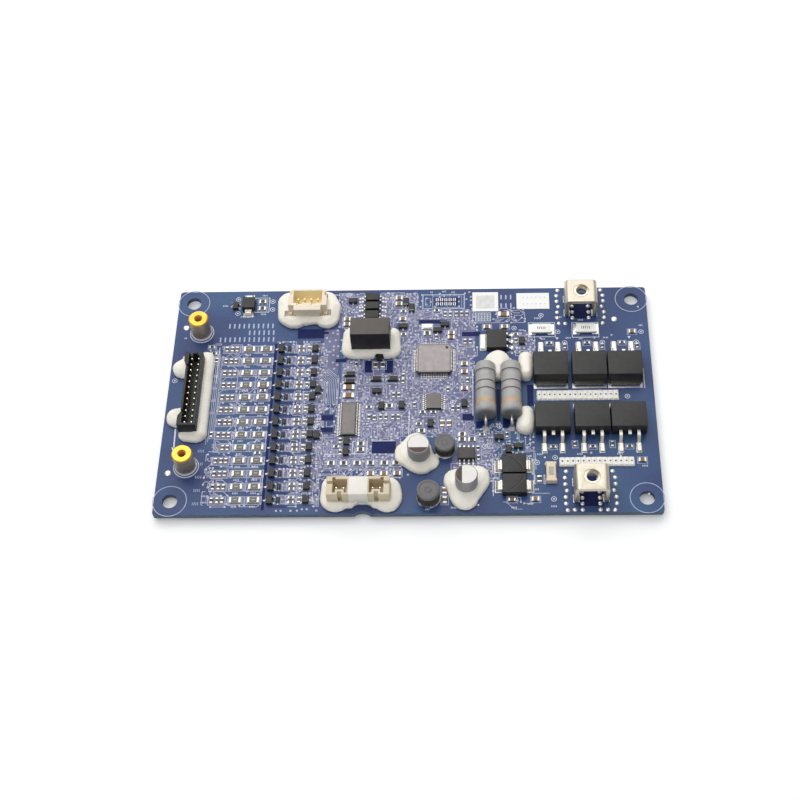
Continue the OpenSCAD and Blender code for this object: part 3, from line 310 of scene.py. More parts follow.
M = {
    "board": board_material(),
    "barrel": banded_barrel(),
    "brass": turned_brass(),
    "frame": transistor_frame(),
    "rim": countersink(),
    "skirt": skirt_finish(),
    "silicone": silicone_material(),
    "legend": Finish("legend_ink", (220, 224, 234), 0.6).drift(0.35, 0.1).grain(0.2, 0.01),
    "fine_legend": Finish("thin_legend_ink", (172, 182, 208), 0.6).drift(0.5, 0.12),
    "paper": Finish("label_paper", (246, 246, 243), 0.78).drift(0.9, 0.02).grain(0.16, 0.004, 4),
}
MADE_BY = {
    mask_over: {  # name, colour, wander, shine
        "copper": ("copper_under_mask", (176, 175, 196), 0.14),
        "pour": ("copper_pour", (106, 109, 144), 0.14),
        "panel": ("row_copper", (116, 115, 142), 0.2),
        "gap": ("mask_over_laminate", (22, 32, 84), 0.15, 0.12),
        "seam": ("mask_between_rows", (40, 52, 108), 0.12, 0.2),
        "ring": ("via_ring", (218, 218, 228), 0.14),
    },
    metal: {  # name, colour, roughness, size and depth of the grain, drift
        "solder": ("solder", (240, 239, 234), 0.36, 0.9, 0.012),
        "tin": ("tinned_pad", (196, 194, 196), 0.42, 0.5, 0.01),
        "nickel": ("nickel_plate", (206, 198, 182), 0.42, 0.5, 0.004, 0.04),
        "lead": ("tinned_lead", (222, 220, 214), 0.36, 0.4, 0.004),
        "leg": ("thin_leg", (186, 184, 182), 0.42, 0.4, 0.004),
        "strap": ("broad_strap", (232, 228, 218), 0.5, 0.8, 0.004, 0.04),
        "pin": ("plated_pin", (236, 230, 212), 0.26, 0.3, 0.005),
        "gilt": ("gilt_contact", (232, 208, 148), 0.5, 0.3, 0.005),
        "can_lid": ("crystal_lid", (228, 226, 220), 0.3, 0.3, 0.004),
    },
    plastic: {  # name, colour, roughness, size and depth of the grain, drift
        "run": ("tinned_run", (240, 238, 232), 0.3, 0.8, 0.02, 0.06),
        "hole": ("bare_hole", (38, 40, 52), 0.6),
        "bore": ("brass_bore", (222, 160, 84), 0.35, 0.4, 0.01),
        "header": ("header_black", (26, 25, 25), 0.48),
        "ivory": ("ivory_nylon", (236, 222, 200), 0.42, 0.2, 0.01, 0.03),
        "amber": ("amber_insert", (255, 240, 200), 0.45, 0.3, 0.02, 0.04),
        "cream": ("cream_nylon", (212, 199, 170), 0.42, 0.2, 0.01, 0.03),
        "well": ("shaded_nylon", (212, 194, 168), 0.5, 0.2, 0.01, 0.06),
        "compound": ("white_compound", (236, 232, 222), 0.5, 0.9, 0.008, 0.02),
        "edge": ("chip_edge", (34, 32, 32), 0.44, 0.09, 0.008),
        "groove": ("mould_groove", (14, 13, 13), 0.6),
        "rib": ("mould_rib", (56, 54, 54), 0.36),
        "chip": ("small_chip_compound", (30, 29, 29), 0.42, 0.09, 0.01),
        "aluminium": ("can_sleeve", (150, 147, 147), 0.34, 0.3, 0.002, 0.03),
        "can_top": ("can_top_print", (234, 229, 225), 0.4, 0.25, 0.006, 0.03),
        "segment": ("can_segment", (78, 62, 58), 0.6, 0.25, 0.006, 0.05),
        "base": ("capacitor_base", (28, 28, 29), 0.5),
        "ferrite": ("ferrite", (98, 96, 97), 0.34, 0.25, 0.012),
        "enamel": ("enamelled_wire", (38, 32, 30), 0.3, 0.25, 0.02),
        "glaze": ("resistor_glaze", (50, 47, 45), 0.4, 0.15, 0.01),
        "grey_glaze": ("grey_glaze", (104, 100, 92), 0.4, 0.15, 0.01),
        "print": ("pale_print", (176, 172, 158), 0.6),
        "ink": ("grey_ink", (222, 222, 219), 0.8),
    },
    # the paler tops are painted light and the darker sides painted shade
    lit_top_shaded_sides: {  # name, colours of the top and the sides, roughness, spread
        "mould": ("mould_compound", (33, 32, 31), (30, 29, 31)),
        "package": ("chip_compound", (168, 158, 158), (62, 58, 58)),
        "mid_package": ("driver_compound", (116, 108, 106), (50, 47, 47)),
        "dark_package": ("monitor_compound", (124, 117, 115), (44, 42, 42), 0.4),
        "flat_top": ("ground_compound", (66, 62, 60), (38, 36, 36)),
        "module": ("module_black", (80, 72, 69), (31, 29, 31), 0.42, 0.04),
    },
    flecked: {  # name, colour, colour and share of the flecks
        "alumina": ("alumina", (226, 224, 214), (196, 192, 178), 0.3),
        "tan": ("capacitor_tan", (138, 108, 80), (108, 82, 60), 0.34),
        "olive": ("filter_tan", (104, 90, 68), (72, 62, 48), 0.36),
        "fuse": ("fuse_body", (234, 216, 190), (216, 194, 160), 0.3),
    },
}
M |= {key: make(*row) for make, rows in MADE_BY.items() for key, row in rows.items()}


# -------------------------------------------------------------- mesh building


def box_outline(x0, y0, x1, y1):
    return [(x0, y0), (x1, y0), (x1, y1), (x0, y1)]


class Shape:
    """Faces in millimetres for one piece. Several materials may be used in it."""

    def __init__(self, *materials):
        self.materials = materials
        self.verts, self.faces, self.slots = [], [], []
        self.at()

    def at(self, x=0.0, y=0.0, z=TOP, turn=0.0):
        """What is added next stands at that place, turned by that many degrees."""
        self.matrix = Matrix.Translation((x, y, z)) @ Matrix.Rotation(radians(turn), 4, "Z")
        return self

    def add(self, verts, faces, slot=0):
        start = len(self.verts)
        self.verts += [self.matrix @ Vector(v) for v in verts]
        self.faces += [[start + i for i in f] for f in faces]
        self.slots += [slot] * len(faces)
        return self

    def rings(self, rings, slot=0, closed=False):
        """Skin over rings of equally many points; the ends are capped unless closed."""
        n, count, faces = len(rings[0]), len(rings), []
        for k in range(count if closed else count - 1):
            a, b = k * n, (k + 1) % count * n
            faces += [(a + i, a + (i + 1) % n, b + (i + 1) % n, b + i) for i in range(n)]
        if not closed:
            faces += [tuple(reversed(range(n))), tuple(range((count - 1) * n, count * n))]
        return self.add([v for ring in rings for v in ring], faces, slot)

    def heap(self, x0, y0, x1, y1, steps, slot=0, low=1, high=1):
        """Rectangular layers, each (inset, height); low and high scale the inset at x0 and x1."""
        (x0, x1), (y0, y1) = sorted((x0, x1)), sorted((y0, y1))
        layers = [(*box_outline(x0 + low * d, y0 + d, x1 - high * d, y1 - d), z) for d, z in steps]
        return self.rings([[(x, y, z) for x, y in corners] for *corners, z in layers], slot)

    def block(self, x0, y0, z0, x1, y1, z1, slot=0, edge=0.0):
        """Box whose upper edges are bevelled by that much."""
        steps = [(0, z0), (0, z1)]
        if edge:
            steps = [(0, z0), (0, z1 - edge), (edge * 0.3, z1 - edge * 0.3), (edge, z1)]
        return self.heap(x0, y0, x1, y1, steps, slot)

    def outline(self, points, z0, z1, slot=0):
        return self.rings([[(x, y, z) for x, y in points] for z in (z0, z1)], slot)

    def profile(self, points, y0, y1, slot=0):
        """Outline in the XZ plane, run from y0 to y1."""
        return self.rings([[(x, y, z) for x, z in points] for y in (y1, y0)], slot)

    def lathe(self, profile, segments=24, slot=0, closed=False, r=0.0):
        """Turned about Z: profile is (radius beyond r, height) from the bottom up."""
        turns = [2 * pi * i / segments for i in range(segments)]
        rings = [[((r + dr) * cos(a), (r + dr) * sin(a), z) for a in turns] for dr, z in profile]
        return self.rings(rings, slot, closed)

    def disc(self, r, z0, z1, slot=0, segments=12):
        return self.lathe([(r, z0), (r, z1)], segments, slot)

    def annulus(self, r0, r1, z0, z1, slot=0, segments=32):
        return self.lathe([(r1, z0), (r1, z1), (r0, z1), (r0, z0)], segments, slot, closed=True)

    def ribbon(self, points, width, z0, z1, slot=0):
        """Flat track of that width along a path with mitred corners."""
        pts, rings = [Vector(p) for p in points], []
        for i, p in enumerate(pts):
            before = (p - pts[i - 1]).normalized() if i else (pts[1] - p).normalized()
            after = (pts[i + 1] - p).normalized() if i + 1 < len(pts) else before
            normal = Vector((-(before + after).y, (before + after).x)).normalized()
            reach = width / 2 / max(normal.dot(Vector((-before.y, before.x))), 0.5)
            left, right = p + normal * reach, p - normal * reach
            rings.append([(*right, z0), (*left, z0), (*left, z1), (*right, z1)])
        return self.rings(rings, slot)

    def frame(self, x0, y0, x1, y1, width, z0, z1, slot=0):
        """Rectangular outline of that line width."""
        w = width / 2
        for y in (y0, y1):
            self.block(x0 - w, y - w, z0, x1 + w, y + w, z1, slot)
        for x in (x0, x1):
            self.block(x - w, y0 + w, z0, x + w, y1 - w, z1, slot)

    def mesh(self, name):
        mesh = bpy.data.meshes.new(name)
        mesh.from_pydata([v * MM for v in self.verts], [], self.faces)
        return mesh

    def finish(self, name, slot, replaces=(), smooth=30):
        mesh = self.mesh(name)
        for m in self.materials:
            mesh.materials.append(M[m].mat)
        mesh.polygons.foreach_set("material_index", self.slots)
        place_piece(mesh, name, replaces, smooth)


def in_scene(name, data):
    """A new object of the scene that holds that mesh, camera or lamp."""
    obj = bpy.data.objects.new(name, data)
    bpy.context.scene.collection.objects.link(obj)
    return obj


def place_piece(mesh, name, replaces=(), smooth=30):
    """Turns a mesh into a piece of the object that rides on its one body."""
    bm = bmesh.new()
    bm.from_mesh(mesh)
    bmesh.ops.recalc_face_normals(bm, faces=bm.faces)
    bm.to_mesh(mesh)
    bm.free()
    mesh.shade_smooth()
    mesh.set_sharp_from_angle(angle=radians(smooth))
    piece = in_scene(name, mesh)
    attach(piece, BODY)
    if replaces:
        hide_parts(*replaces)


def dress(material, *nodes):
    """Gives CAD nodes that already have the right shape their finish."""
    for name in nodes:
        NODES[name].data.materials.clear()
        NODES[name].data.materials.append(M[material].mat)


def coated(mesh, material):
    """A new mesh with one finish all over."""
    mesh.materials.clear()
    mesh.materials.append(M[material].mat)
    mesh.polygons.foreach_set("material_index", [0] * len(mesh.polygons))
    return mesh


def joined(name):
    """A copy of a CAD node's mesh with its split vertices joined."""
    bm = bmesh.new()
    bm.from_mesh(NODES[name].data)
    bmesh.ops.remove_doubles(bm, verts=bm.verts, dist=1e-6)
    return bm


def whole_faced(name):
    """The same with its flat faces whole."""
    bm = joined(name)
    bmesh.ops.dissolve_limit(bm, angle_limit=radians(1), verts=bm.verts, edges=bm.edges,
                             use_dissolve_boundaries=False)
    return bm


@cache
def solids(name):
    """Each separate solid of a CAD node."""
    bm, seen, found = joined(name), set(), []
    for v in bm.verts:
        stack, points = [v], []
        while stack:
            u = stack.pop()
            if u not in seen:
                seen.add(u)
                points.append(u.co / MM)
                stack += [e.other_vert(u) for e in u.link_edges]
        if points:
            found.append(measured(points))
    bm.free()
    return found


def softened(node, material, edge, steps=2):
    """The CAD node's own shape with its sharp edges rounded, as moulding or bending leaves them."""
    bm = whole_faced(node)
    sharp = [e for e in bm.edges if len(e.link_faces) == 2 and e.calc_face_angle(0) > radians(28)]
    bmesh.ops.bevel(bm, geom=sharp, offset=edge * MM, offset_type="OFFSET", segments=steps,
                    profile=0.6, affect="EDGES", clamp_overlap=True)
    mesh = bpy.data.meshes.new(node + "_soft")
    bm.to_mesh(mesh)
    bm.free()
    place_piece(coated(mesh, material), node + "_soft", (node,), 40)


# ---------------------------------------------------------------- small parts


def fillet(s, x, side, width, reach, height, slot, y=0.0):
    """Solder climbing a part's end at x; side is the way it runs out along X."""
    points = [(x, 0), (x + side * reach, 0), (x + side * reach * 0.55, height * 0.22),
              (x + side * reach * 0.18, height * 0.62), (x, height)]
    s.profile(points, y - width / 2, y + width / 2, slot)


def chip_part(s, length, width, h, cap, top, bar):
    """Ceramic block with wrapped metal ends, solder fillets and pads, along X.

    Slots: 0 body, 1 metal, 2 solder, 3 top coat, 4 print.
    """
    end, inner, half = length / 2, length / 2 - cap, width / 2
    s.block(-inner, 0.03 - half, 0.04, inner, half - 0.03, h - 0.07)
    if top:
        s.block(0.02 - inner, 0.05 - half, h - 0.07, inner - 0.02, half - 0.05, h - 0.03, 3, 0.02)
    if bar:
        s.block(-inner / 2, -0.2, h - 0.03, inner / 2, 0.2, h - 0.015, 4)
    for side in (-1, 1):
        s.block(side * inner, -half, 0.04, side * end, half, h, 1, 0.05)
        fillet(s, side * end, side, width * 0.86, min(0.16, width * 0.2), h * 0.55, 2)
        s.block(side * (inner - 0.02), -half - 0.02, 0.0, side * (end + 0.18), half + 0.02, PAD, 2)


def laid_along(s, part):
    """Turns the shape's X along a part; gives its length and width."""
    turned = part.size.y > part.size.x
    s.at(*part.mid.xy, turn=90 if turned else 0)
    return max(part.size.xy), min(part.size.xy)


def chips(node, name, slot, body, top=None, cap=0.22, bar=False):
    """Replaces a node of chip parts by detailed ones at the same places and sizes."""
    s = Shape(body, "lead", "tin", top or body, "print")
    for part in solids(node):
        length, width = laid_along(s, part)
        chip_part(s, length, width, part.size.z, length * cap, top, bar)
    s.finish(name, slot, (node,))


def gull(s, x, y, reach, shoulder, foot, width, side):
    """Gull-wing leg in slot 1 running out along X from x, on the given side."""
    thick, bend = 0.13, reach - foot
    points = [(0, shoulder), (0, shoulder + thick), (bend * 0.5, shoulder + thick),
              (bend * 0.66, shoulder + thick * 0.8), (bend + thick * 0.5, thick * 1.15),
              (bend + thick * 0.9, thick), (reach, thick), (reach, 0.0), (bend - thick * 0.2, 0.0),
              (bend * 0.5 - thick * 0.3, shoulder)]
    s.profile([(x + side * px, pz + PAD) for px, pz in points], y - width / 2, y + width / 2, 1)


def moulded(s, w, d, h, slope):
    """Moulded package: both halves draft away from the parting line half way up."""
    s.heap(-w / 2, -d / 2, w / 2, d / 2, [
        (slope, 0.08), (0, h * 0.5 - 0.03), (0, h * 0.5 + 0.03), (slope * 0.9, h - 0.06),
        (slope * 0.9 + 0.06, h)])


def toe(s, x, y, side, width):
    """Pad in slot 2 under a leg's foot, with the solder run up its toe."""
    s.block(x - side * 0.35, y - width / 2 - 0.05, 0.0, x + side * 0.2, y + width / 2 + 0.05, PAD, 2)
    fillet(s, x, side, width * 0.9, 0.15, 0.16, 2, y)


def transistors(node, name, body, leg):
    """Three-legged packages; the side with the lone leg is read off the CAD solid."""
    s = Shape(body, "leg", "tin")
    for part in solids(node):
        turn = 90 if part.size.x > part.size.y else 0
        out, along = (1, 0) if turn else (0, 1)
        low_side = [abs(p[along] - part.mid[along]) for p in part.points if p[out] < part.lo[out] + 0.02]
        # at turn 0 the lone leg points to -X, at 90 to -Y
        s.at(*part.mid.xy, turn=turn + (0 if max(low_side) < 0.4 else 180))
        length, across = part.size[along], part.size[out]
        half = across / 2 - leg
        moulded(s, 2 * half + 0.12, length, part.size.z, 0.1)
        for y, side in ((-0.95, 1), (0.95, 1), (0, -1)):
            y *= length / 2.9
            gull(s, side * half, y, leg, 0.42, 0.2, 0.38, side)
            toe(s, side * across / 2, y, side, 0.38)
    s.finish(name, "mould_compound", (node,))


def diodes(node, name, body, leg, band):
    """Two-legged packages, some with a pale cathode band."""
    s = Shape(body, "leg", "tin", "print")
    for part in solids(node):
        length, width = laid_along(s, part)
        half, h = length / 2 - leg, part.size.z
        moulded(s, 2 * half, width, h, 0.09)
        if band:
            s.block(0.2 - half, 0.16 - width / 2, h, 0.42 - half, width / 2 - 0.16, h + 0.012, 3)
        for side in (-1, 1):
            gull(s, side * (half - 0.08), 0, leg + 0.05, 0.38, leg * 0.5, width * 0.4, side)
            toe(s, side * length / 2, 0, side, width * 0.4)
    s.finish(name, "mould_compound", (node,))


def small_parts():
    chips("balance_resistors", "balancing_resistors", "chip_ceramic", "alumina", "grey_glaze", 0.17, True)
    chips("filter_resistors", "row_resistors", "chip_ceramic", "glaze", "glaze", 0.24)
    chips("filter_capacitors", "row_capacitors", "capacitor_ceramic", "olive", cap=0.24)
    chips("sense_resistors", "sensing_resistors", "chip_ceramic", "alumina", "grey_glaze")
    chips("chip_capacitors", "ceramic_capacitors", "capacitor_ceramic", "tan")
    chips("chip_resistors", "thick_film_resistors", "chip_ceramic", "alumina", "glaze")
    transistors("balance_transistors", "row_transistors", "mould", 0.42)
    transistors("level_transistors", "shift_transistors", "chip", 0.3)
    transistors("small_transistors", "signal_transistors", "chip", 0.4)
    diodes("gate_diodes", "row_diodes", "chip", 0.22, False)
    diodes("signal_diodes", "clamp_diodes", "mould", 0.4, True)


def away_from(bodies, lead):
    """From the nearest of a node's solids to the middle of a lead."""
    return min((lead.mid - body.mid for body in solids(bodies)), key=lambda away: away.xy.length)


def lead_pads(chip, body, wider, back, ahead):
    """Tinned pads with solder toes under the feet of a chip's leads."""
    s = Shape("tin")
    for lead in solids(chip + "_leads"):
        axis = 0 if lead.size.x > lead.size.y else 1
        if lead.size.z < 0.05 or lead.size[axis] < 0.7:
            continue
        side = 1 if away_from(f"{chip}_{body}", lead)[axis] > 0 else -1
        place, width = lead.mid.xy, lead.size[1 - axis] + wider
        place[axis] = (lead.hi if side > 0 else lead.lo)[axis]
        s.at(*place, turn=90 * axis)
        s.block(-side * back, -width / 2, 0.0, side * ahead, width / 2, 0.06, 0, 0.02)
        fillet(s, 0.0, side, width * 0.9, ahead * 0.7, 0.24, 0)
    s.finish(chip + "_pads", "solder")


def chip_leads():
    """Leads of the larger chips, which the CAD holds, and the pads under them."""
    dress("lead", "regulator_lead_frame", "power_resistor_leads", "converter_pins")
    dress("strap", "surge_diode_leads")
    dress("frame", "mosfet_lead_frames")
    for chip, *pads in (
        ("controller", "body", 0.0, 0.3, 0.5), ("monitor", "body", 0.0, 0.3, 0.3),
        ("driver", "body", 0.04, 0.4, 0.3), ("memory", "body", 0.1, 0.7, 0.4),
        ("optocoupler", "bodies", 0.2, 0.8, 0.8),
    ):
        dress("lead", chip + "_leads")
        lead_pads(chip, *pads)


# ---------------------------------------------------------------- large parts


def packages():
    softened("controller_body", "package", 0.1, 3)
    softened("monitor_body", "dark_package", 0.1, 3)
    softened("driver_body", "mid_package", 0.1, 3)
    softened("memory_body", "flat_top", 0.1)
    for node, edge in (("optocoupler_bodies", 0.12), ("regulator_body", 0.14),
                       ("surge_diode_bodies", 0.2), ("mosfet_bodies", 0.16)):
        softened(node, "mould", edge)
    softened("converter_module", "module", 0.18)
    softened("chip_fuse", "fuse", 0.3, 3)
    softened("crystal_can", "can_lid", 0.08)
    # mould marks: ejector rings, the moulding arcs of the large surge diodes as a line of painted shade
    # with a painted highlight beside it, fuse ends
    s = Shape("edge", "fuse", "print", "groove", "rib")
    for body in solids("mosfet_bodies"):
        s.at(*body.mid.xy, body.hi.z).annulus(0.5, 0.6, -0.02, 0.008)
    large = [body for body in solids("surge_diode_bodies") if body.size.x > 6]
    for body, flip in zip(sorted(large, key=lambda b: b.lo.y), (-1, 1)):
        arc = [(-2.9 + 5.4 * t, flip * (2.5 - 4.6 * t * t)) for t in (i / 12 for i in range(13))]
        s.at(*body.mid.xy, body.hi.z).ribbon(arc, 0.3, -0.02, 0.012, 3)
        s.ribbon([(x + 0.26, y + flip * 0.2) for x, y in arc], 0.2, -0.02, 0.012, 4)
    body = whole("regulator_body")
    s.at(body.mid.x + 0.3, body.mid.y + 1.0, body.hi.z).annulus(0.7, 0.95, -0.02, 0.01)
    fuse = whole("chip_fuse")
    high = fuse.hi.z - TOP
    for y0, y1 in ((fuse.lo.y - 0.05, fuse.lo.y + 0.8), (fuse.hi.y - 0.8, fuse.hi.y + 0.05)):
        s.at().block(fuse.lo.x - 0.04, y0, 0.02, fuse.hi.x + 0.04, y1, high + 0.04, 1, 0.3)
    s.at(fuse.mid.x).block(-0.75, fuse.lo.y + 1.7, high - 0.02, 0.75, fuse.hi.y - 1.7, high + 0.01, 2)
    # rims: the chips' tops, paler in painted light, end in a darker frame, and pin 1 is dimpled
    for chip in ("controller", "monitor", "memory"):
        lo, hi = whole(chip + "_body")[1:3]
        s.at(z=hi.z).frame(lo.x + 0.28, lo.y + 0.28, hi.x - 0.28, hi.y - 0.28, 0.14, -0.02, 0.006)
    hi = whole("controller_body").hi
    s.at(hi.x - 1.2, hi.y - 1.2, hi.z).disc(0.42, -0.02, 0.008, 0, 20)
    s.finish("mould_marks", "mould_compound")


def power_pads():
    """Solder under and round the power transistors' leads, tabs and the regulator."""
    s = Shape("solder", "tin", "strap")
    middle = whole("mosfet_lead_frames").mid.y
    for lead in solids("mosfet_lead_frames"):
        side = 1 if lead.mid.y > middle else -1
        inner, outer = (lead.lo.y, lead.hi.y)[::side]
        if lead.size.x < 2 and lead.size.y > 3:  # an outer lead with a foot
            s.at(lead.mid.x, outer, turn=90 * side).block(-2.3, -0.78, 0.0, 1.0, 0.78, 0.09, 2, 0.04)
            s.heap(-1.7, -0.66, 0.8, 0.66, [(0, 0.09), (0.06, 0.45), (0.14, 0.66)], 2, low=-1)
        elif lead.size.x > 5:  # a tab
            s.at(lead.mid.x, inner, turn=-90 * side).block(-3.0, -5.0, 0.0, 0.35, 5.0, 0.06, 1, 0.03)
    tab = whole("regulator_lead_frame")
    s.at(tab.lo.x, tab.mid.y).block(-0.4, -2.9, 0.0, 2.2, 2.9, 0.1, 2, 0.04)
    s.block(-0.25, -2.6, 0.1, 1.5, 2.6, 0.75, 2, 0.3)
    for lead in (-1, 0, 1):
        s.at(tab.hi.x - 0.1, tab.mid.y + lead * 2.29)
        s.lathe([(0.78, 0.0), (0.76, 0.3), (0.6, 0.62), (0.3, 0.8)], 14)
    for strap in solids("surge_diode_leads"):
        away = away_from("surge_diode_bodies", strap)
        axis = 0 if abs(away.x) > abs(away.y) else 1
        place, half = strap.mid.xy, strap.size[1 - axis] / 2 + 0.25
        place[axis] = (strap.hi if away[axis] > 0 else strap.lo)[axis]
        s.at(*place, turn=90 * axis + (0 if away[axis] > 0 else 180))
        s.block(-1.0, -half - 0.2, 0.0, 1.35, half + 0.2, 0.08, 2, 0.03)
        steps = [(0, 0.08), (0.12, 0.5), (0.3, 0.95), (0.42, 1.1)]
        s.heap(-0.9, -half, 1.2, half, steps, 2, low=0, high=2)
    # bright solder domes over the tooling holes: painted light, standing in for the white table seen
    # through them
    for x, y in ((-68, 25.4), (-68, -25.4), (61, 27)):
        s.at(x, y).lathe([(0.92, 0.0), (0.86, 0.12), (0.6, 0.26), (0.01, 0.34)], 20)
    s.finish("power_solder", "solder")


def shunts():
    """Metal-strip resistors: white coated middle, wrapped ends, and a dark strip along the near side,
    painted shadow of the overhanging body.
    """
    s = Shape("alumina", "lead", "solder", "paper", "glaze")
    for part in solids("shunt_resistors"):
        x, y, h = part.size.x / 2, part.size.y / 2, part.size.z
        s.at(*part.mid.xy)
        for side in (-1, 1):
            s.block(side * (x - 0.55), 0.25 - y, 0.05, side * x, y - 0.25, h - 0.06, 1, 0.08)
            s.block(side * (x - 1.4), -y - 0.3, 0.0, side * (x + 0.55), y + 0.3, 0.08, 2, 0.03)
        s.block(0.3 - x, -y, 0.1, x - 0.3, y, h - 0.05, 0, 0.06)
        s.block(0.34 - x, 0.05 - y, h - 0.05, x - 0.34, y - 0.05, h, 3, 0.03)
        # painted shadow: dark strip along the near side, under the overhanging body
        s.block(0.5 - x, -y - 0.01, 0.12, x - 0.5, 0.1 - y, 0.34, 4)
        for i in range(5):  # plain bars where a value would be printed
            s.block(-1.3 + 0.55 * i, -0.45, h, -1.1 + 0.55 * i, 0.45, h + 0.012, 4)
    s.finish("shunt_parts", "shunt_ceramic", ("shunt_resistors",))


def electrolytics():
    """Rolled cans with a groove above the base and a dark segment printed on the top."""
    s = Shape("aluminium", "can_top", "segment")
    cans = sorted(solids("capacitor_cans"), key=lambda can: can.lo.x)
    for can, turn in zip(cans, (180, 90)):  # the turn of each printed segment
        r, h = can.size.x / 2, can.hi.z - TOP
        wall = [(-0.3, 0.9), (-0.3, 1.2), (-0.06, 1.32), (0, 1.5), (0, 1.85), (-0.1, 2.0), (-0.24, 2.12),
                (-0.24, 2.24), (-0.1, 2.36), (0, 2.5), (0, h - 0.3), (-0.06, h - 0.14),
                (-0.18, h - 0.04), (-0.28, h - 0.02)]
        s.at(*can.mid.xy, turn=turn).lathe(wall, 48, r=r)
        s.lathe([(-0.22, h - 0.06), (-0.26, h - 0.01), (0.01 - r, h - 0.01)], 48, 1, r=r)
        arc = [radians(6.6 * k - 66) for k in range(21)]
        s.outline([((r - 0.27) * sin(a), (r - 0.27) * cos(a)) for a in arc], h - 0.03, h, 2)
    s.finish("rolled_cans", "can_aluminium", ("capacitor_cans",))
    softened("capacitor_bases", "base", 0.12)


def inductors():
    """Drum cores with a dished top and turns of enamelled wire round the waist."""
    core, wire = Shape("ferrite"), Shape("enamel")
    for drum in solids("inductor_cores"):
        r, h = drum.size.x / 2, drum.hi.z - TOP
        flanges = [(-0.1, 0.1), (0, 0.25), (0, 0.95), (-0.12, 1.1), (-1.2, 1.12), (-1.2, h - 1.12),
                   (-0.12, h - 1.1), (0, h - 0.95), (0, h - 0.4), (-0.12, h - 0.12), (-0.4, h),
                   (-0.75, h), (-0.9, h - 0.1)]
        dish = [(1.1, h - 0.12), (1.0, h - 0.02), (0.75, h - 0.02), (0.65, h - 0.12), (0.01, h - 0.12)]
        core.at(*drum.mid.xy).lathe(flanges + [(x - r, z) for x, z in dish], 48, r=r)
        # coat that fills the waist, with the nine turns just showing through
        steps = [k / 36 for k in range(37)]
        coat = [(0.05 * cos(18 * pi * t) - 0.14, 1.12 + (h - 2.24) * t) for t in steps]
        wire.at(*drum.mid.xy).lathe([(-1.1, 1.1), *coat, (-1.1, h - 1.1)], 32, r=r)
    core.finish("drum_cores", "ferrite", ("inductor_cores",))
    wire.finish("wire_turns", "enamel_wire", ("inductor_windings",))


def thread(s, x, y, r, z0, z1, depth):
    """Ridge of an internal thread of 0.5 mm pitch wound round a bore."""
    pitch, steps, verts = 0.5, 20, []
    count = int((z1 - z0) / pitch * steps)
    for i in range(count + 1):
        a, z = 2 * pi * i / steps, z0 + pitch * i / steps
        for dr, dz in ((0.03, -0.42), (-depth, 0.0), (0.03, 0.42)):
            verts.append((x + (r + dr) * cos(a), y + (r + dr) * sin(a), z + dz * pitch))
    faces = [(2, 1, 0), (3 * count, 3 * count + 1, 3 * count + 2)]
    for a in range(0, 3 * count, 3):
        faces += [(a + k, a + (k + 1) % 3, a + 3 + (k + 1) % 3, a + 3 + k) for k in range(3)]
    s.at(z=0).add(verts, faces)


def threaded_holes(word):
    """Middle, radius and low and high end of each recorded bore whose name holds that word."""
    for m in MOUNTS:
        if word in m["name"]:
            middle, half = Vector(m["pos_m"]) / MM, m["dims"]["length_mm"] / 2
            yield middle.xy, m["dims"]["r_mm"], middle.z - half, middle.z + half


def terminal_feet():
    """X of the outer edge, Y and side of each foot of the screw terminals."""
    for (_, y), *_ in threaded_holes("terminal_thread"):
        terminal = whole("terminal_far" if y > 0 else "terminal_near")
        for x, side in ((terminal.lo.x, -1), (terminal.hi.x, 1)):
            yield from ((x, y + k * 2.6, side) for k in (-1, 1))


def terminals_and_standoffs():
    for node in ("terminal_far", "terminal_near"):
        softened(node, "nickel", 0.14)
    dress("brass", "standoffs")
    dress("skirt", "standoff_solder")
    dress("solder", "solder_domes")
    s = Shape("nickel", "solder", "rim")
    for place, r, low, high in threaded_holes("terminal_thread"):
        # the countersunk rim is a flat ring with the cone's light and shade painted on
        s.at(*place, high).annulus(r - 0.02, r + 0.68, -0.02, 0.012, 2, 48)  # countersunk rim
        thread(s, *place, r, low + 0.2, high - 0.2, 0.22)
        # extruded collar that gives the thread its depth, below the bridge
        collar = [(0.55, 0.02), (0.5, -0.75), (0.3, -0.95), (0.05, -0.95), (0.05, 0.02)]
        s.at(*place, low).lathe(collar, 32, closed=True, r=r)
    for x, y, side in terminal_feet():
        s.at(x, y).block(-1.6 * side, -1.2, 0.0, 0.2 * side, 1.2, 0.07, 1, 0.03)
        s.heap(-1.5 * side, -1.0, 0.15 * side, 1.0, [(0, 0.05), (0.1, 0.25), (0.3, 0.42)], 1)
    s.finish("terminal_threads", "nickel_plate")
    s = Shape("bore")
    for place, r, low, high in threaded_holes("standoff_thread"):
        thread(s, *place, r, low + 0.3, high - 0.3, 0.2)
        s.at(*place, low).annulus(r - 0.03, r, 0.05, high - low - 0.12)
        s.disc(r - 0.02, 0.02, 0.06, 0, 32)
    s.finish("standoff_threads", "brass")


def well_lining(s, half, front, back, floor, tops, slot):
    """Thin floor and walls of a connector's well; tops are the walls' front, back and side."""
    thick = 0.06
    s.block(-half, front, floor, half, back, floor + thick, slot)
    for y, inward, top in ((front, thick, tops[0]), (back, -thick, tops[1])):
        if top:
            s.block(-half, y, floor, half, y + inward, top, slot)
    for side in (-1, 1):
        s.block(side * half, front, floor, side * (half - thick), back, tops[2], slot)


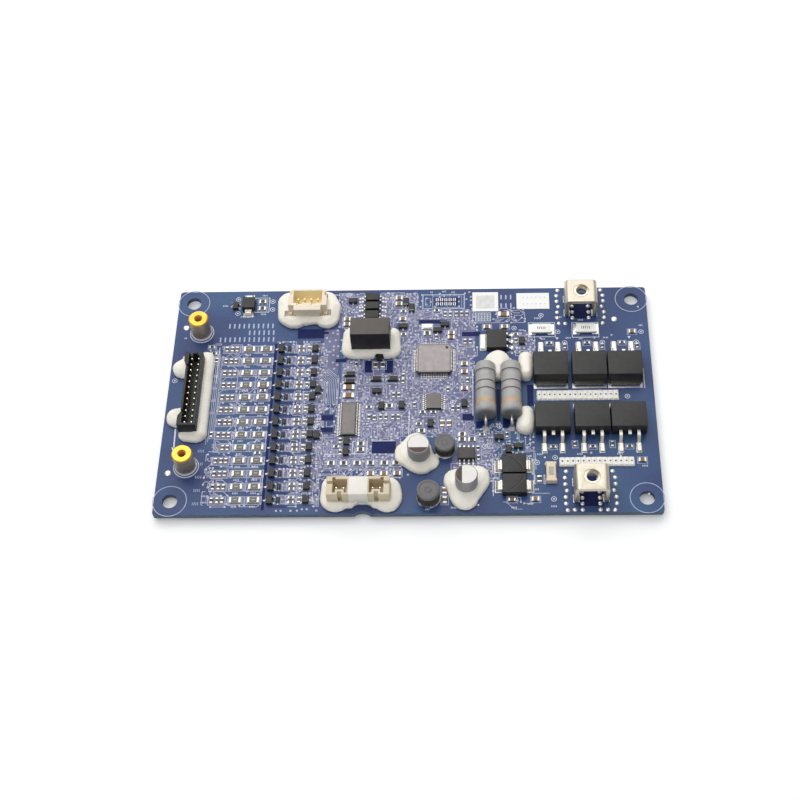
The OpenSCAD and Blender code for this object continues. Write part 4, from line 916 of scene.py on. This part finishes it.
def connectors():
    softened("header_housing", "header", 0.1)
    softened("far_connector_housing", "ivory", 0.12)
    softened("socket_housings", "cream", 0.12)
    softened("socket_bridge", "compound", 0.2)
    softened("header_pins", "pin", 0.1, 1)
    softened("socket_pins", "pin", 0.1, 1)
    dress("gilt", "far_connector_contacts")
    dress("strap", "far_connector_tabs")
    # the far connector's well is lined in a pale warm amber: painted light, the glow of light bouncing
    # inside the cream well
    s = Shape("amber", "well")
    housing = whole("far_connector_housing")
    high = housing.hi.z - TOP - 0.05
    s.at(housing.mid.x, whole("far_connector_contacts").lo.y + 0.45)
    well_lining(s, 4.4, -2.3, 2.3, 1.2, (high - 0.6, high, high), 0)
    # the small sockets are open at the front
    pins = sorted(pin.mid.x for pin in solids("socket_pins"))
    sockets = whole("socket_housings")
    y, high = sockets.hi.y, sockets.hi.z - TOP
    for left, right in (pins[:2], pins[2:]):
        s.at((left + right) / 2)
        well_lining(s, 2.05, y - 5.2, y - 0.9, 1.2, (0, high - 0.5, high - 1.45), 1)
    s.finish("connector_insides", "ivory_nylon")


def power_resistors():
    """Barrels in their lacquer, and a cone of solder round each wire."""
    dress("barrel", "power_resistor_bodies")
    s = Shape("solder")
    middle = whole("power_resistor_bodies").mid.y
    for wire in solids("power_resistor_leads"):
        r = wire.size.x / 2
        s.at(wire.mid.x, wire.hi.y - r if wire.mid.y > middle else wire.lo.y + r)
        s.lathe([(0.75, 0.02), (0.6, 0.2), (0.3, 0.5), (0.1, 0.9), (0, 1.0)], 20, r=r)
    s.finish("wire_solder", "solder")


def tails():
    """Solder cones round every pin that comes out of the back of the board."""
    s = Shape("solder")
    for node in ("header_pins", "socket_pins", "converter_pins", "power_resistor_leads"):
        for pin in solids(node):
            low = [p for p in pin.points if p.z < 0.05]
            if low:
                tail = measured(low)
                cone = [(0.08, 0.35), (0.16, 0.7), (0.42, BACK - 0.25), (0.55, BACK)]
                s.at(*tail.mid.xy, 0).lathe(cone, 14, r=max(tail.size.xy) / 2)
    for x, y, side in terminal_feet():
        steps = [(0, 0.5), (-0.12, 0.9), (-0.5, BACK - 0.15), (-0.6, BACK)]
        s.at(x - 0.6 * side, y, 0).heap(-0.66, -0.9, 0.66, 0.9, steps)
    s.finish("tail_solder", "solder")


# -------------------------------------------------------------------- silicone


def modified(mesh, kind, **props):
    """A new mesh: the given one under a modifier."""
    obj = in_scene("work", mesh)
    modifier = obj.modifiers.new(kind, kind)
    for key, value in props.items():
        setattr(modifier, key, value)
    graph = bpy.context.evaluated_depsgraph_get()
    changed = bpy.data.meshes.new_from_object(obj.evaluated_get(graph))
    bpy.data.objects.remove(obj)
    return changed


def prisms(outlines, z0=TOP - 1):
    """A mesh of upright prisms from z0: (outline, height over the board) in millimetres."""
    s = Shape().at(z=0)
    for outline, height in outlines:
        s.outline(outline, z0, TOP + height)
    return s.mesh("prisms")


def soft_mass(node, name, held=(), hidden=(), material="silicone", voxel=0.3,
              rounds=10, lumps=0.16, swell=0.12):
    """The CAD node's mass, rounded as a poured or soldered mass is.

    held lists what it grips, as (outline, height). That is filled in up to the height while
    the mass is rounded, so that it climbs the walls, and is cut out again afterwards. What is
    hidden inside the mass is filled in and stays so.
    """
    bm = whole_faced(node)
    bm.from_mesh(prisms([*held, *hidden], TOP - 0.4))
    mesh = bpy.data.meshes.new(name)
    bm.to_mesh(mesh)
    bm.free()
    mesh = modified(mesh, "REMESH", mode="VOXEL", voxel_size=voxel * MM)
    mesh = modified(mesh, "SMOOTH", factor=0.5, iterations=rounds)
    bm = bmesh.new()
    bm.from_mesh(mesh)
    bm.normal_update()
    for v in bm.verts:
        p = v.co / MM
        out = swell + lumps * noise.noise(p * 0.3) + 0.4 * lumps * noise.noise(p * 0.9)
        v.co += v.normal * out * MM
    # flat where it lies on the board
    bmesh.ops.bisect_plane(bm, geom=bm.verts[:] + bm.edges[:] + bm.faces[:], clear_outer=True,
                           plane_co=(0, 0, (TOP + 0.01) * MM), plane_no=(0, 0, -1))
    bmesh.ops.triangle_fill(bm, edges=[e for e in bm.edges if e.is_boundary], use_beauty=True)
    bmesh.ops.recalc_face_normals(bm, faces=bm.faces)
    bm.to_mesh(mesh)
    bm.free()
    for outline, _ in held:
        cutter = in_scene("cutter", prisms([(outline, 12)]))
        mesh = modified(mesh, "BOOLEAN", operation="DIFFERENCE", object=cutter, solver="EXACT")
        bpy.data.objects.remove(cutter)
    place_piece(coated(mesh, material), name, (node,), 50)


def gripped(node, height):
    """What a mass grips of a node: its box on the board, and how high the mass climbs it."""
    lo, hi = whole(node)[1:3]
    return box_outline(lo.x, lo.y, hi.x, hi.y), height


def gripped_rounds(node, height):
    """The same for each round solid of a node."""
    turns = [2 * pi * i / 32 for i in range(32)]
    for solid in solids(node):
        x, y, r = *solid.mid.xy, solid.size.x / 2 - 0.02
        yield [(x + r * cos(a), y + r * sin(a)) for a in turns], height


def silicone():
    soft_mass("silicone_header", "header_dab", [gripped("header_housing", 2.4)])
    lo, hi, middle = whole("far_connector_housing")[1:4]
    x, body, guide, ear, front = middle.x, 5.8, 4.05, 3.1, lo.y + 2.0
    soft_mass("silicone_far_connector", "far_connector_dab", [
        (box_outline(x - body, front, x + body, hi.y), 2.6),
        (box_outline(x - guide, front - 1.8, x + guide, front + 0.1), 2.0),
        (box_outline(lo.x, lo.y, lo.x + ear, front + 0.05), 0.9),
        (box_outline(hi.x - ear, lo.y, hi.x, front + 0.05), 0.9),
    ])
    soft_mass("silicone_converter", "converter_dab", [gripped("converter_module", 2.6)])
    soft_mass("silicone_sockets", "socket_dab", [gripped("socket_housings", 0.9)])
    bases = [(box_outline(*b.lo.xy, *b.hi.xy), b.hi.z - TOP) for b in solids("capacitor_bases")]
    rounds = [*gripped_rounds("capacitor_cans", 3.0), *gripped_rounds("inductor_cores", 0.8)]
    soft_mass("silicone_capacitors", "capacitor_dabs", rounds, bases, lumps=0.22)
    soft_mass("silicone_resistors", "resistor_dabs", lumps=0.2, swell=0.38)


def tinned_runs():
    """Runs thick with solder; open vias show as dark dots, painted shade in their holes, in two rows on
    the far one.
    """
    soft_mass("solder_strips", "tinned_runs", material="run", voxel=0.12, rounds=3,
              lumps=0.08)
    s = Shape("hole")
    for run in solids("solder_strips"):
        count = round(run.size.x / 1.45)
        for k in range(count):
            for y in (run.lo.y + 0.6, run.hi.y - 0.6) if run.mid.y > 0 else (run.mid.y,):
                s.at(run.lo.x + (k + 0.5) * run.size.x / count, y)
                s.disc(0.25, 0.02, run.hi.z - TOP + 0.16, 0, 10)
    s.finish("run_vias", "solder")


# --------------------------------------------------------------- board artwork

TRACK_PITCH = 0.45
WAYS = [(1, 0), (1, 1), (0, 1), (-1, 1), (-1, 0), (-1, -1), (0, -1), (1, -1)]


class Routes:
    """Tracks and vias on a grid that keep clear of the parts and of each other."""

    def __init__(self, seed):
        self.rng = random.Random(seed)
        self.taken, self.tracks, self.vias = set(), [], []
        for name in NODES:
            if name != "pcb" and not name.startswith(("silicone", "paper")):
                for _, lo, hi, *_ in solids(name):
                    if hi.z > TOP + 0.05:
                        self.keep_out(lo.x - 0.2, lo.y - 0.2, hi.x + 0.2, hi.y + 0.2)

    def cell(self, x, y):
        return round(x / TRACK_PITCH), round(y / TRACK_PITCH)

    def random_cell(self, x0, y0, x1, y1):
        return self.cell(self.rng.uniform(x0, x1), self.rng.uniform(y0, y1))

    def keep_out(self, x0, y0, x1, y1):
        (i0, j0), (i1, j1) = self.cell(x0, y0), self.cell(x1, y1)
        self.taken |= {(i, j) for i in range(i0, i1 + 1) for j in range(j0, j1 + 1)}

    def around(self, cell):
        return {(cell[0] + i, cell[1] + j) for i in (-1, 0, 1) for j in (-1, 0, 1)}

    def drop_via(self, cell):
        self.taken |= self.around(cell)
        self.vias.append((cell[0] * TRACK_PITCH, cell[1] * TRACK_PITCH))

    def scatter(self, zone, count):
        """Vias by themselves, as stitching between the copper layers."""
        for _ in range(count):
            cell = self.random_cell(*zone)
            if not self.around(cell) & self.taken:
                self.drop_via(cell)

    def wander(self, zone, count, mean):
        """Tracks that run straight, bend by 45 degrees when blocked, and may end in a via."""
        rng = self.rng
        low, high = self.cell(*zone[:2]), self.cell(*zone[2:])
        for _ in range(count):
            cell, way = self.random_cell(*zone), rng.choice((0, 2, 4, 6))
            if cell in self.taken:
                continue
            path = [cell]
            for _ in range(int(rng.expovariate(1 / mean)) + 4):
                for turn in [0, 1, -1, 2, -2] if rng.random() > 0.1 else [1, -1, 0]:
                    step = WAYS[(way + turn) % 8]
                    after = (cell[0] + step[0], cell[1] + step[1])
                    inside = low[0] <= after[0] <= high[0] and low[1] <= after[1] <= high[1]
                    if inside and after not in self.taken and after not in path:
                        cell, way = after, (way + turn) % 8
                        path.append(cell)
                        break
                else:
                    break
            if len(path) < 4:
                continue
            self.taken |= set(path)
            self.tracks.append(path)
            for end in (path[0], path[-1]):
                if rng.random() < 0.55:
                    self.drop_via(end)

    def draw(self, s, width, slot, ring, core):
        for path in self.tracks:
            bends = [b for a, b, c in zip(path, path[1:], path[2:])
                     if (b[0] - a[0], b[1] - a[1]) != (c[0] - b[0], c[1] - b[1])]
            corners = [path[0], *bends, path[-1]]
            points = [(i * TRACK_PITCH, j * TRACK_PITCH) for i, j in corners]
            s.at().ribbon(points, width, 0.0, TRACK, slot)
        for x, y in self.vias:
            s.at(x, y).annulus(0.14, 0.31, 0.0, 0.04, ring, 8)
            # the dark core is painted shade in the via's hole
            s.disc(0.15, 0.0, 0.02, core, 6)


# zone of the board, number of tracks tried there, mean length in cells
TRACK_ZONES = [
    ((-20, -14, 19, 14), 1000, 7), ((-20, 14, 20, 30.5), 520, 6), ((-22, 30, 2, 38), 260, 5),
    ((2, 26, 34, 31.5), 170, 7), ((-40, -36.6, -24.8, 20), 1100, 4),
    ((-57.5, -36.6, -40.5, 19), 200, 4),
    ((-27, -28, -2, -13), 340, 6), ((-27, -14, -20, 8), 180, 6), ((12, -29, 36, -10), 460, 5),
    ((28, 14, 37, 22), 80, 4), ((-60, 8, -56.5, 19.5), 26, 5), ((24, -38, 44, -22), 10, 4),
]
# zone of the board and number of stitching vias tried there
VIA_ZONES = [
    ((-14, -14, 3, 8), 700), ((3, -12, 19, 4), 320), ((-20, -28, 0, -14), 300),
    ((-22, 24, 20, 38), 620), ((-20, 8, 20, 26), 420), ((-40, -38, -24.8, 20), 1200),
    ((-27, -14, -20, 24), 240), ((12, -28, 34, -11), 560), ((34, -38, 69, 38), 20),
    ((30, 14, 37, 23), 100),
]
# copper areas under the mask
POURS = [
    (-26, 7.5, -21.3, 24.2), (-20.4, -13.2, 18.8, 12.8), (-3.4, 12.8, 19.2, 27.2),
    (-21.8, 24.6, -4.2, 37.6), (-4.2, 27.2, 2.2, 37.6), (2.2, 27.2, 19.0, 31.2),
    (-26.4, -25.2, -2.4, -13.2), (12.4, -26.6, 24.6, -13.2), (30.4, 14.8, 36.4, 22.6),
]
# bare laminate under the mask
NAVY = [
    (-34, 21, -26, 24.4), (-26.2, 22.6, -24.7, 23.4), (-40.7, -37.6, -39.9, 19.2),
    (19.3, -11.2, 21.6, -9), (27, -11.2, 29, -8), (25.3, -9, 26.3, 2), (-13.4, 8.4, -11.2, 12.6),
    (-7.4, 8.2, -5.1, 12.6), (-10.4, -19.4, -3.6, -15.4), (34.2, -3.8, 36, 3.5),
    (-25.4, -8.2, -21.9, -6.4), (-25.4, -12.2, -21.9, -10.6), (2.4, 26.0, 10.9, 27.4),
    (15.3, 21.2, 20.8, 22.8), (36.4, -6.2, 46, -3.8), (-22.2, 12.2, -19, 13.4),
    (15.4, -8.6, 18.6, -6.4), (47.6, -37, 54.4, -27.4), (47.6, 27.4, 54.4, 36.8),
]
TEST_RINGS = [
    (-53, 36), (-52.8, 30.6), (-42.4, 35), (-42.3, 32), (-19.2, 37.2), (39.1, 28.7), (63.2, -0.8),
    (40.7, -34.7), (68.7, 22.2), (41.5, -21.3), (36.4, -22.9), (45.8, 18.5), (57, 18.5), (67, 18.5),
    (26, -10.7), (30.9, 24), (43.9, 22.5), (12.6, -2.4), (-26.9, -10.1), (-59.4, 9.6), (-69.4, 6.1),
    (33.6, -21.4), (21.8, -17.4),
]
LEGEND_FRAMES = [
    (-47.8, 31.0, -43.4, 36.4), (35.2, 20.7, 43.1, 25.9), (48.2, 20.4, 56.1, 25.8),
    (22.6, 34.6, 25.4, 36.9), (35.4, -29.8, 38.4, -27.0), (26.0, 28.0, 29.9, 30.3),
    (-16.0, -19.4, -11.9, -15.4), (3.2, 23.6, 6.5, 25.9),
]
LEGEND_LINES = [
    [(-51.9, 29.3), (-47.7, 29.3)], [(23.9, -21.3), (23.9, -26.7)], [(23.9, -27.7), (23.9, -33.6)],
    [(18.4, 9), (18.4, -7)], [(68.4, 9), (68.4, 2)], [(-57.1, 18), (-57.1, 5)],
    [(-24, -19.6), (-12.2, -19.6)], [(-10.6, -15.3), (-4, -15.3)], [(0, -5), (0, -14)],
]
# place and number of the short bars that stand for a part's number
TICKS = [
    (5.8, 37.9, 2), (9.4, 38.1, 3), (12.2, 37.8, 3), (-57.4, 33.5, 4), (-45.6, 37.3, 4),
    (-45.6, 30.2, 4), (46.3, 20.2, 4), (57.4, 20.2, 4), (39.0, 19.9, 3), (50.2, 19.9, 3),
    (37.2, 27.6, 5), (38.6, -23.4, 3), (49.8, -22, 3), (33.5, -36.2, 4), (29.0, -37.3, 4),
    (40.0, -37.0, 4), (66, -24.2, 4), (35.2, -31.6, 4), (-68.0, 21.5, 2), (-66.6, -21.2, 2),
    (-23.4, 37.2, 4), (-7.6, 37.6, 6), (-57.6, -33.0, 5), (-57.6, -35.0, 5), (43.4, 28.0, 5),
    (50.2, 26.8, 4), (68.3, 24.6, 3), (32.4, 23.2, 4), (36.6, -20.2, 4), (47.9, -20.2, 4),
    (59.2, -20.2, 4), (5.2, -37.7, 3), (12.2, -37.2, 8), (-25.0, 16.0, 4),
]
# place and number of the bars that stand for longer print
BARS = [(-54.8, 25.8, 10), (-48.6, 23.3, 6), (-57.2, 20.8, 12), (27.2, 35.7, 3), (27.2, 32.5, 3)]
TRIANGLES = [(43.6, 20), (54.7, 20.2), (65, 20.2), (31.6, 16.6)]
DOTS = [(38.6, -21.2), (49.8, -21), (60, -21), (-67.6, 14.6), (12.6, 17.8), (19.7, -36.4)]


def rows():
    """Y of each balancing row, from the far side."""
    return sorted((part.mid.y for part in solids("balance_transistors")), reverse=True)


def copper():
    """Copper and bare laminate that show through the solder mask on the component side."""
    s, routes = Shape("pour", "copper", "gap", "ring", "hole", "panel", "seam"), Routes(seed=7)
    pour, tracks, gap, ring, hole, panel, seam = range(7)

    def track(*points):
        s.ribbon(points, 0.2, 0.0, TRACK, tracks)

    for x0, y0, x1, y1 in POURS:
        c = 0.7  # cut corners
        s.outline([(x0 + c, y0), (x1 - c, y0), (x1, y0 + c), (x1, y1 - c), (x1 - c, y1),
                   (x0 + c, y1), (x0, y1 - c), (x0, y0 + c)], 0.0, 0.012, pour)
    for x0, y0, x1, y1 in NAVY:
        s.block(x0, y0, 0.0, x1, y1, 0.02, gap)
        routes.keep_out(x0, y0, x1, y1)
    routes.keep_out(19.2, 26.4, 24.3, 30.3)
    for y in rows():
        # paler copper behind the row, bare laminate up to the next, and three short tracks
        s.block(-55.7, y - 1.2, 0.0, -40.9, y + 1.2, 0.014, panel)
        s.block(-36.4, y - 1.3, 0.0, -24.7, y + 1.4, 0.014, panel)
        s.block(-38.6, y - 2.3, 0.0, -33.8, y - 1.65, 0.02, seam)
        routes.keep_out(-39.4, y - 2.2, -34.0, y - 1.7)
        for k in range(3):
            track((-56.4, y + 1.3 - 0.5 * k), (-55.4, y + 1.3 - 0.5 * k))
    # bundles of parallel tracks: beside the cell header, and from the rows to the monitor chip
    for k in range(5):
        x = -58.2 + 0.52 * k
        track((x, 18 - 0.8 * k), (x, -16 + 0.9 * k))
        routes.keep_out(x, -16, x, 18)
    for k in range(9):
        x, y = -20.9 - 0.52 * k, 6.6 - 0.22 * k
        run = 3.2 - 0.1 * k
        track((x, -2.4), (x, y), (x - run, y + run), (-24.4, y + run))
        routes.keep_out(x, -2.4, x, y + 3)
    for zone, count, mean in TRACK_ZONES:
        routes.wander(zone, count, mean)
    for zone, count in VIA_ZONES:
        routes.scatter(zone, count)
    routes.draw(s, 0.21, tracks, ring, hole)
    s.finish("board_copper", "laminate")


class Print(Shape):
    """Marks printed on the board. Slots: 0 bright ink, 1 the paler look of thin ink."""

    def box(self, x0, y0, x1, y1, width=0.16, slot=1):
        self.frame(x0, y0, x1, y1, width, 0.0, PRINT, slot)

    def line(self, *points, width=0.2, slot=1):
        self.ribbon(points, width, 0.0, PRINT, slot)

    def dot(self, x, y, r):
        self.at(x, y).disc(r, 0.0, PRINT, 0, 10).at()

    def bars(self, x, y, count, step=0.42, tall=0.55, slot=0, half=0.09):
        """A row of short bars in the place of printed letters."""
        for k in range(count):
            mid = x + step * k
            self.block(mid - half, y - tall / 2, 0.0, mid + half, y + tall / 2, PRINT, slot)


def legend():
    """Printed frames, rings, dots and bars; there is no lettering."""
    s = Print("legend", "fine_legend", "gap")
    for x, y in mounting_holes():
        s.at(x, y).annulus(4.64, 4.86, 0.0, PRINT, 1, 64)
    for x, y in TEST_RINGS:
        s.at(x, y).annulus(0.62, 0.78, 0.0, PRINT, 0, 20)
        s.dot(x, y, 0.26)
    for i, y in enumerate(rows()):
        s.box(-50.2, y - 1.2, -40.8, y + 1.25, 0.2)
        s.line((-45.5, y - 1.2), (-45.5, y + 1.25))
        s.box(-55.8, y - 1.35, -50.9, y + 1.3, 0.18)
        s.dot(-40.1, y, 0.26)
        s.bars(-49.0, y - 1.95, 4)
        s.bars(-43.9, y - 1.95, 4)
        s.bars(-58.4 if i < 6 else -60.0, y - 0.9, 4, 0.5, 0.9, 1)
        s.box(-34.0, y - 1.3, -31.1, y + 1.4)
        s.box(-30.9, y - 1.1, -29.5, y + 1.1, 0.14)
        s.box(-36.9, y - 1.1, -35.3, y + 1.1, 0.12)
        s.line((-39.2, y + 1.5), (-37.4, y + 1.5), width=0.16)
    # thin frames round the loose chip parts and diodes, and a line beyond the others
    for name, gap in (("chip_resistors", 0.42), ("chip_capacitors", 0.42), ("signal_diodes", 0.3)):
        for _, lo, hi, *_ in solids(name):
            s.box(lo.x - gap, lo.y - gap, hi.x + gap, hi.y + gap)
    for name in ("small_transistors", "optocoupler_leads"):
        for _, lo, hi, *_ in solids(name):
            s.line((lo.x - 0.3, hi.y + 0.35), (hi.x + 0.3, hi.y + 0.35), width=0.12)
    for place in LEGEND_FRAMES:
        s.box(*place, 0.18, 0)
    for points in LEGEND_LINES:
        s.line(*points, slot=0)
    for place in TICKS:
        s.bars(*place)
    for place in BARS:
        s.bars(*place, 1.45, 1.7, 1, 0.22)
    s.line((-67.4, -10.6), (-67.2, -17.2), width=0.42, slot=0)  # arrow beside the cell header
    s.outline([(-67.9, -16.9), (-67.1, -19.0), (-66.5, -16.9)], 0.0, PRINT)
    for x, y in TRIANGLES:
        s.outline([(x - 0.5, y + 0.4), (x, y - 0.45), (x + 0.5, y + 0.4)], 0.0, PRINT)
    for x, y in DOTS:
        s.dot(x, y, 0.3)
    # unpopulated debug connector: outline, keying notch and the mask under its pads
    s.box(3.4, 31.6, 16.0, 36.9, 0.36)
    s.box(6.4, 32.0, 15.2, 36.4, 0.14)
    s.box(4.2, 32.6, 5.7, 35.6, 0.14)
    s.block(7.0, 32.7, 0.0, 14.0, 35.7, 0.045, 2)
    # grid of test vias beside the larger label
    for i in range(6):
        s.line((19.4 + 0.9 * i, 26.8), (19.4 + 0.9 * i, 30.0), width=0.24, slot=0)
    for j in range(5):
        s.line((19.4, 26.8 + 0.75 * j), (24.0, 26.8 + 0.75 * j), width=0.24, slot=0)
    s.finish("board_legend", "laminate", smooth=20)


def printed_fields():
    """Pads of the debug connector, and the grey fields of the two labels."""
    s = Shape("hole", "ink", "tin")
    for k in range(5):
        for y in (33.4, 35.0):
            s.block(7.35 + 1.3 * k, y - 0.55, 0.0, 8.25 + 1.3 * k, y + 0.55, 0.06, 2)
            # dark strip in each pad: painted shade in its hole
            s.block(7.62 + 1.3 * k, y - 0.45, 0.0, 7.98 + 1.3 * k, y + 0.45, 0.07)
    high = whole("paper_labels").hi.z - TOP + 0.008
    s.block(19.6, 31.4, 0.0, 25.2, 36.4, high, 1)
    for k in range(6):
        for y in (33.0, 35.4):
            s.block(33.6 + 1.3 * k, y - 0.25, 0.0, 34.1 + 1.3 * k, y + 0.25, high, 1)
    s.finish("printed_fields", "laminate")


def mounting_holes():
    """Places of the holes of the recorded bolt pattern."""
    for m in MOUNTS:
        if m["kind"] == "bolt_pattern":
            x, y = m["dims"]["spacing_x_mm"] / 2, m["dims"]["spacing_y_mm"] / 2
            yield from ((a * x, b * y) for a in (-1, 1) for b in (-1, 1))


# ------------------------------------------------------------- camera and light


def aimed(place, aim):
    """Where a camera or lamp stands and how it is turned to look at a point."""
    place = Vector(place)
    turn = (Vector(aim) - place).to_track_quat("-Z", "Y").to_matrix().to_4x4()
    return Matrix.Translation(place * MM) @ turn


def photo_camera():
    data = bpy.data.cameras.new("photo_view")
    data.lens, data.sensor_width = 65.862, 36.0
    data.shift_x, data.shift_y = -0.04638, -0.02286
    data.clip_start, data.clip_end = 0.01, 10
    camera = in_scene("photo_view", data)
    roll = Matrix.Rotation(radians(-2.959), 4, "Z")
    camera.matrix_world = aimed((20.104, -234.891, 358.398), (7.974, 4.925, 3.2)) @ roll
    bpy.context.scene.camera = camera


def softbox(name, place, width, height, watts, tint=(1, 1, 1)):
    """Rectangular lamp that looks at the middle of the table."""
    data = bpy.data.lights.new(name, "AREA")
    data.shape, data.size, data.size_y = "RECTANGLE", width * MM, height * MM
    data.energy, data.color = watts, tint
    in_scene(name, data).matrix_world = aimed(place, (0, 0, 0))


def table_material():
    """Seen or mirrored, the table glows a little; where the board shades it, it stays grey."""
    f = Finish("white_table", (255, 255, 255), 0.9, Base_Color=(0.9, 0.9, 0.9, 1),
               Emission_Color=(1, 1, 1, 1))
    path = f.node("LightPath").outputs
    seen = path["Is Camera Ray"]
    for ray in ("Is Glossy Ray", "Is Transmission Ray"):
        seen = f.math("MAXIMUM", seen, path[ray])
    f.feed("Emission Strength", f.math("MULTIPLY", seen, 0.2))
    return f.mat


def studio():
    """White table, a broad soft light above and behind, and a dim room in front."""
    world = bpy.data.worlds.new("room")
    world.use_nodes = True
    sky = world.node_tree.nodes["Background"].inputs
    sky["Color"].default_value = (0.96, 0.98, 1.0, 1)
    sky["Strength"].default_value = 0.42
    bpy.context.scene.world = world
    softbox("window", (-60, 420, 420), 900, 560, 2.2, (1.0, 0.99, 0.97))
    softbox("ceiling", (-120, 0, 620), 620, 460, 1.6)
    mesh = bpy.data.meshes.new("table")
    mesh.from_pydata([(x, y, 0) for x, y in box_outline(-3, -3, 3, 3)], [], [(0, 1, 2, 3)])
    mesh.materials.append(table_material())
    table = in_scene("table", mesh)
    bpy.context.scene.view_settings.view_transform = "Standard"


def main():
    dress("board", "pcb")
    dress("paper", "paper_labels")
    for build in (
        small_parts, packages, chip_leads, power_pads, shunts, electrolytics, inductors,
        terminals_and_standoffs, connectors, power_resistors, tails, silicone, tinned_runs,
        copper, legend, printed_fields, photo_camera, studio,
    ):
        build()


main()
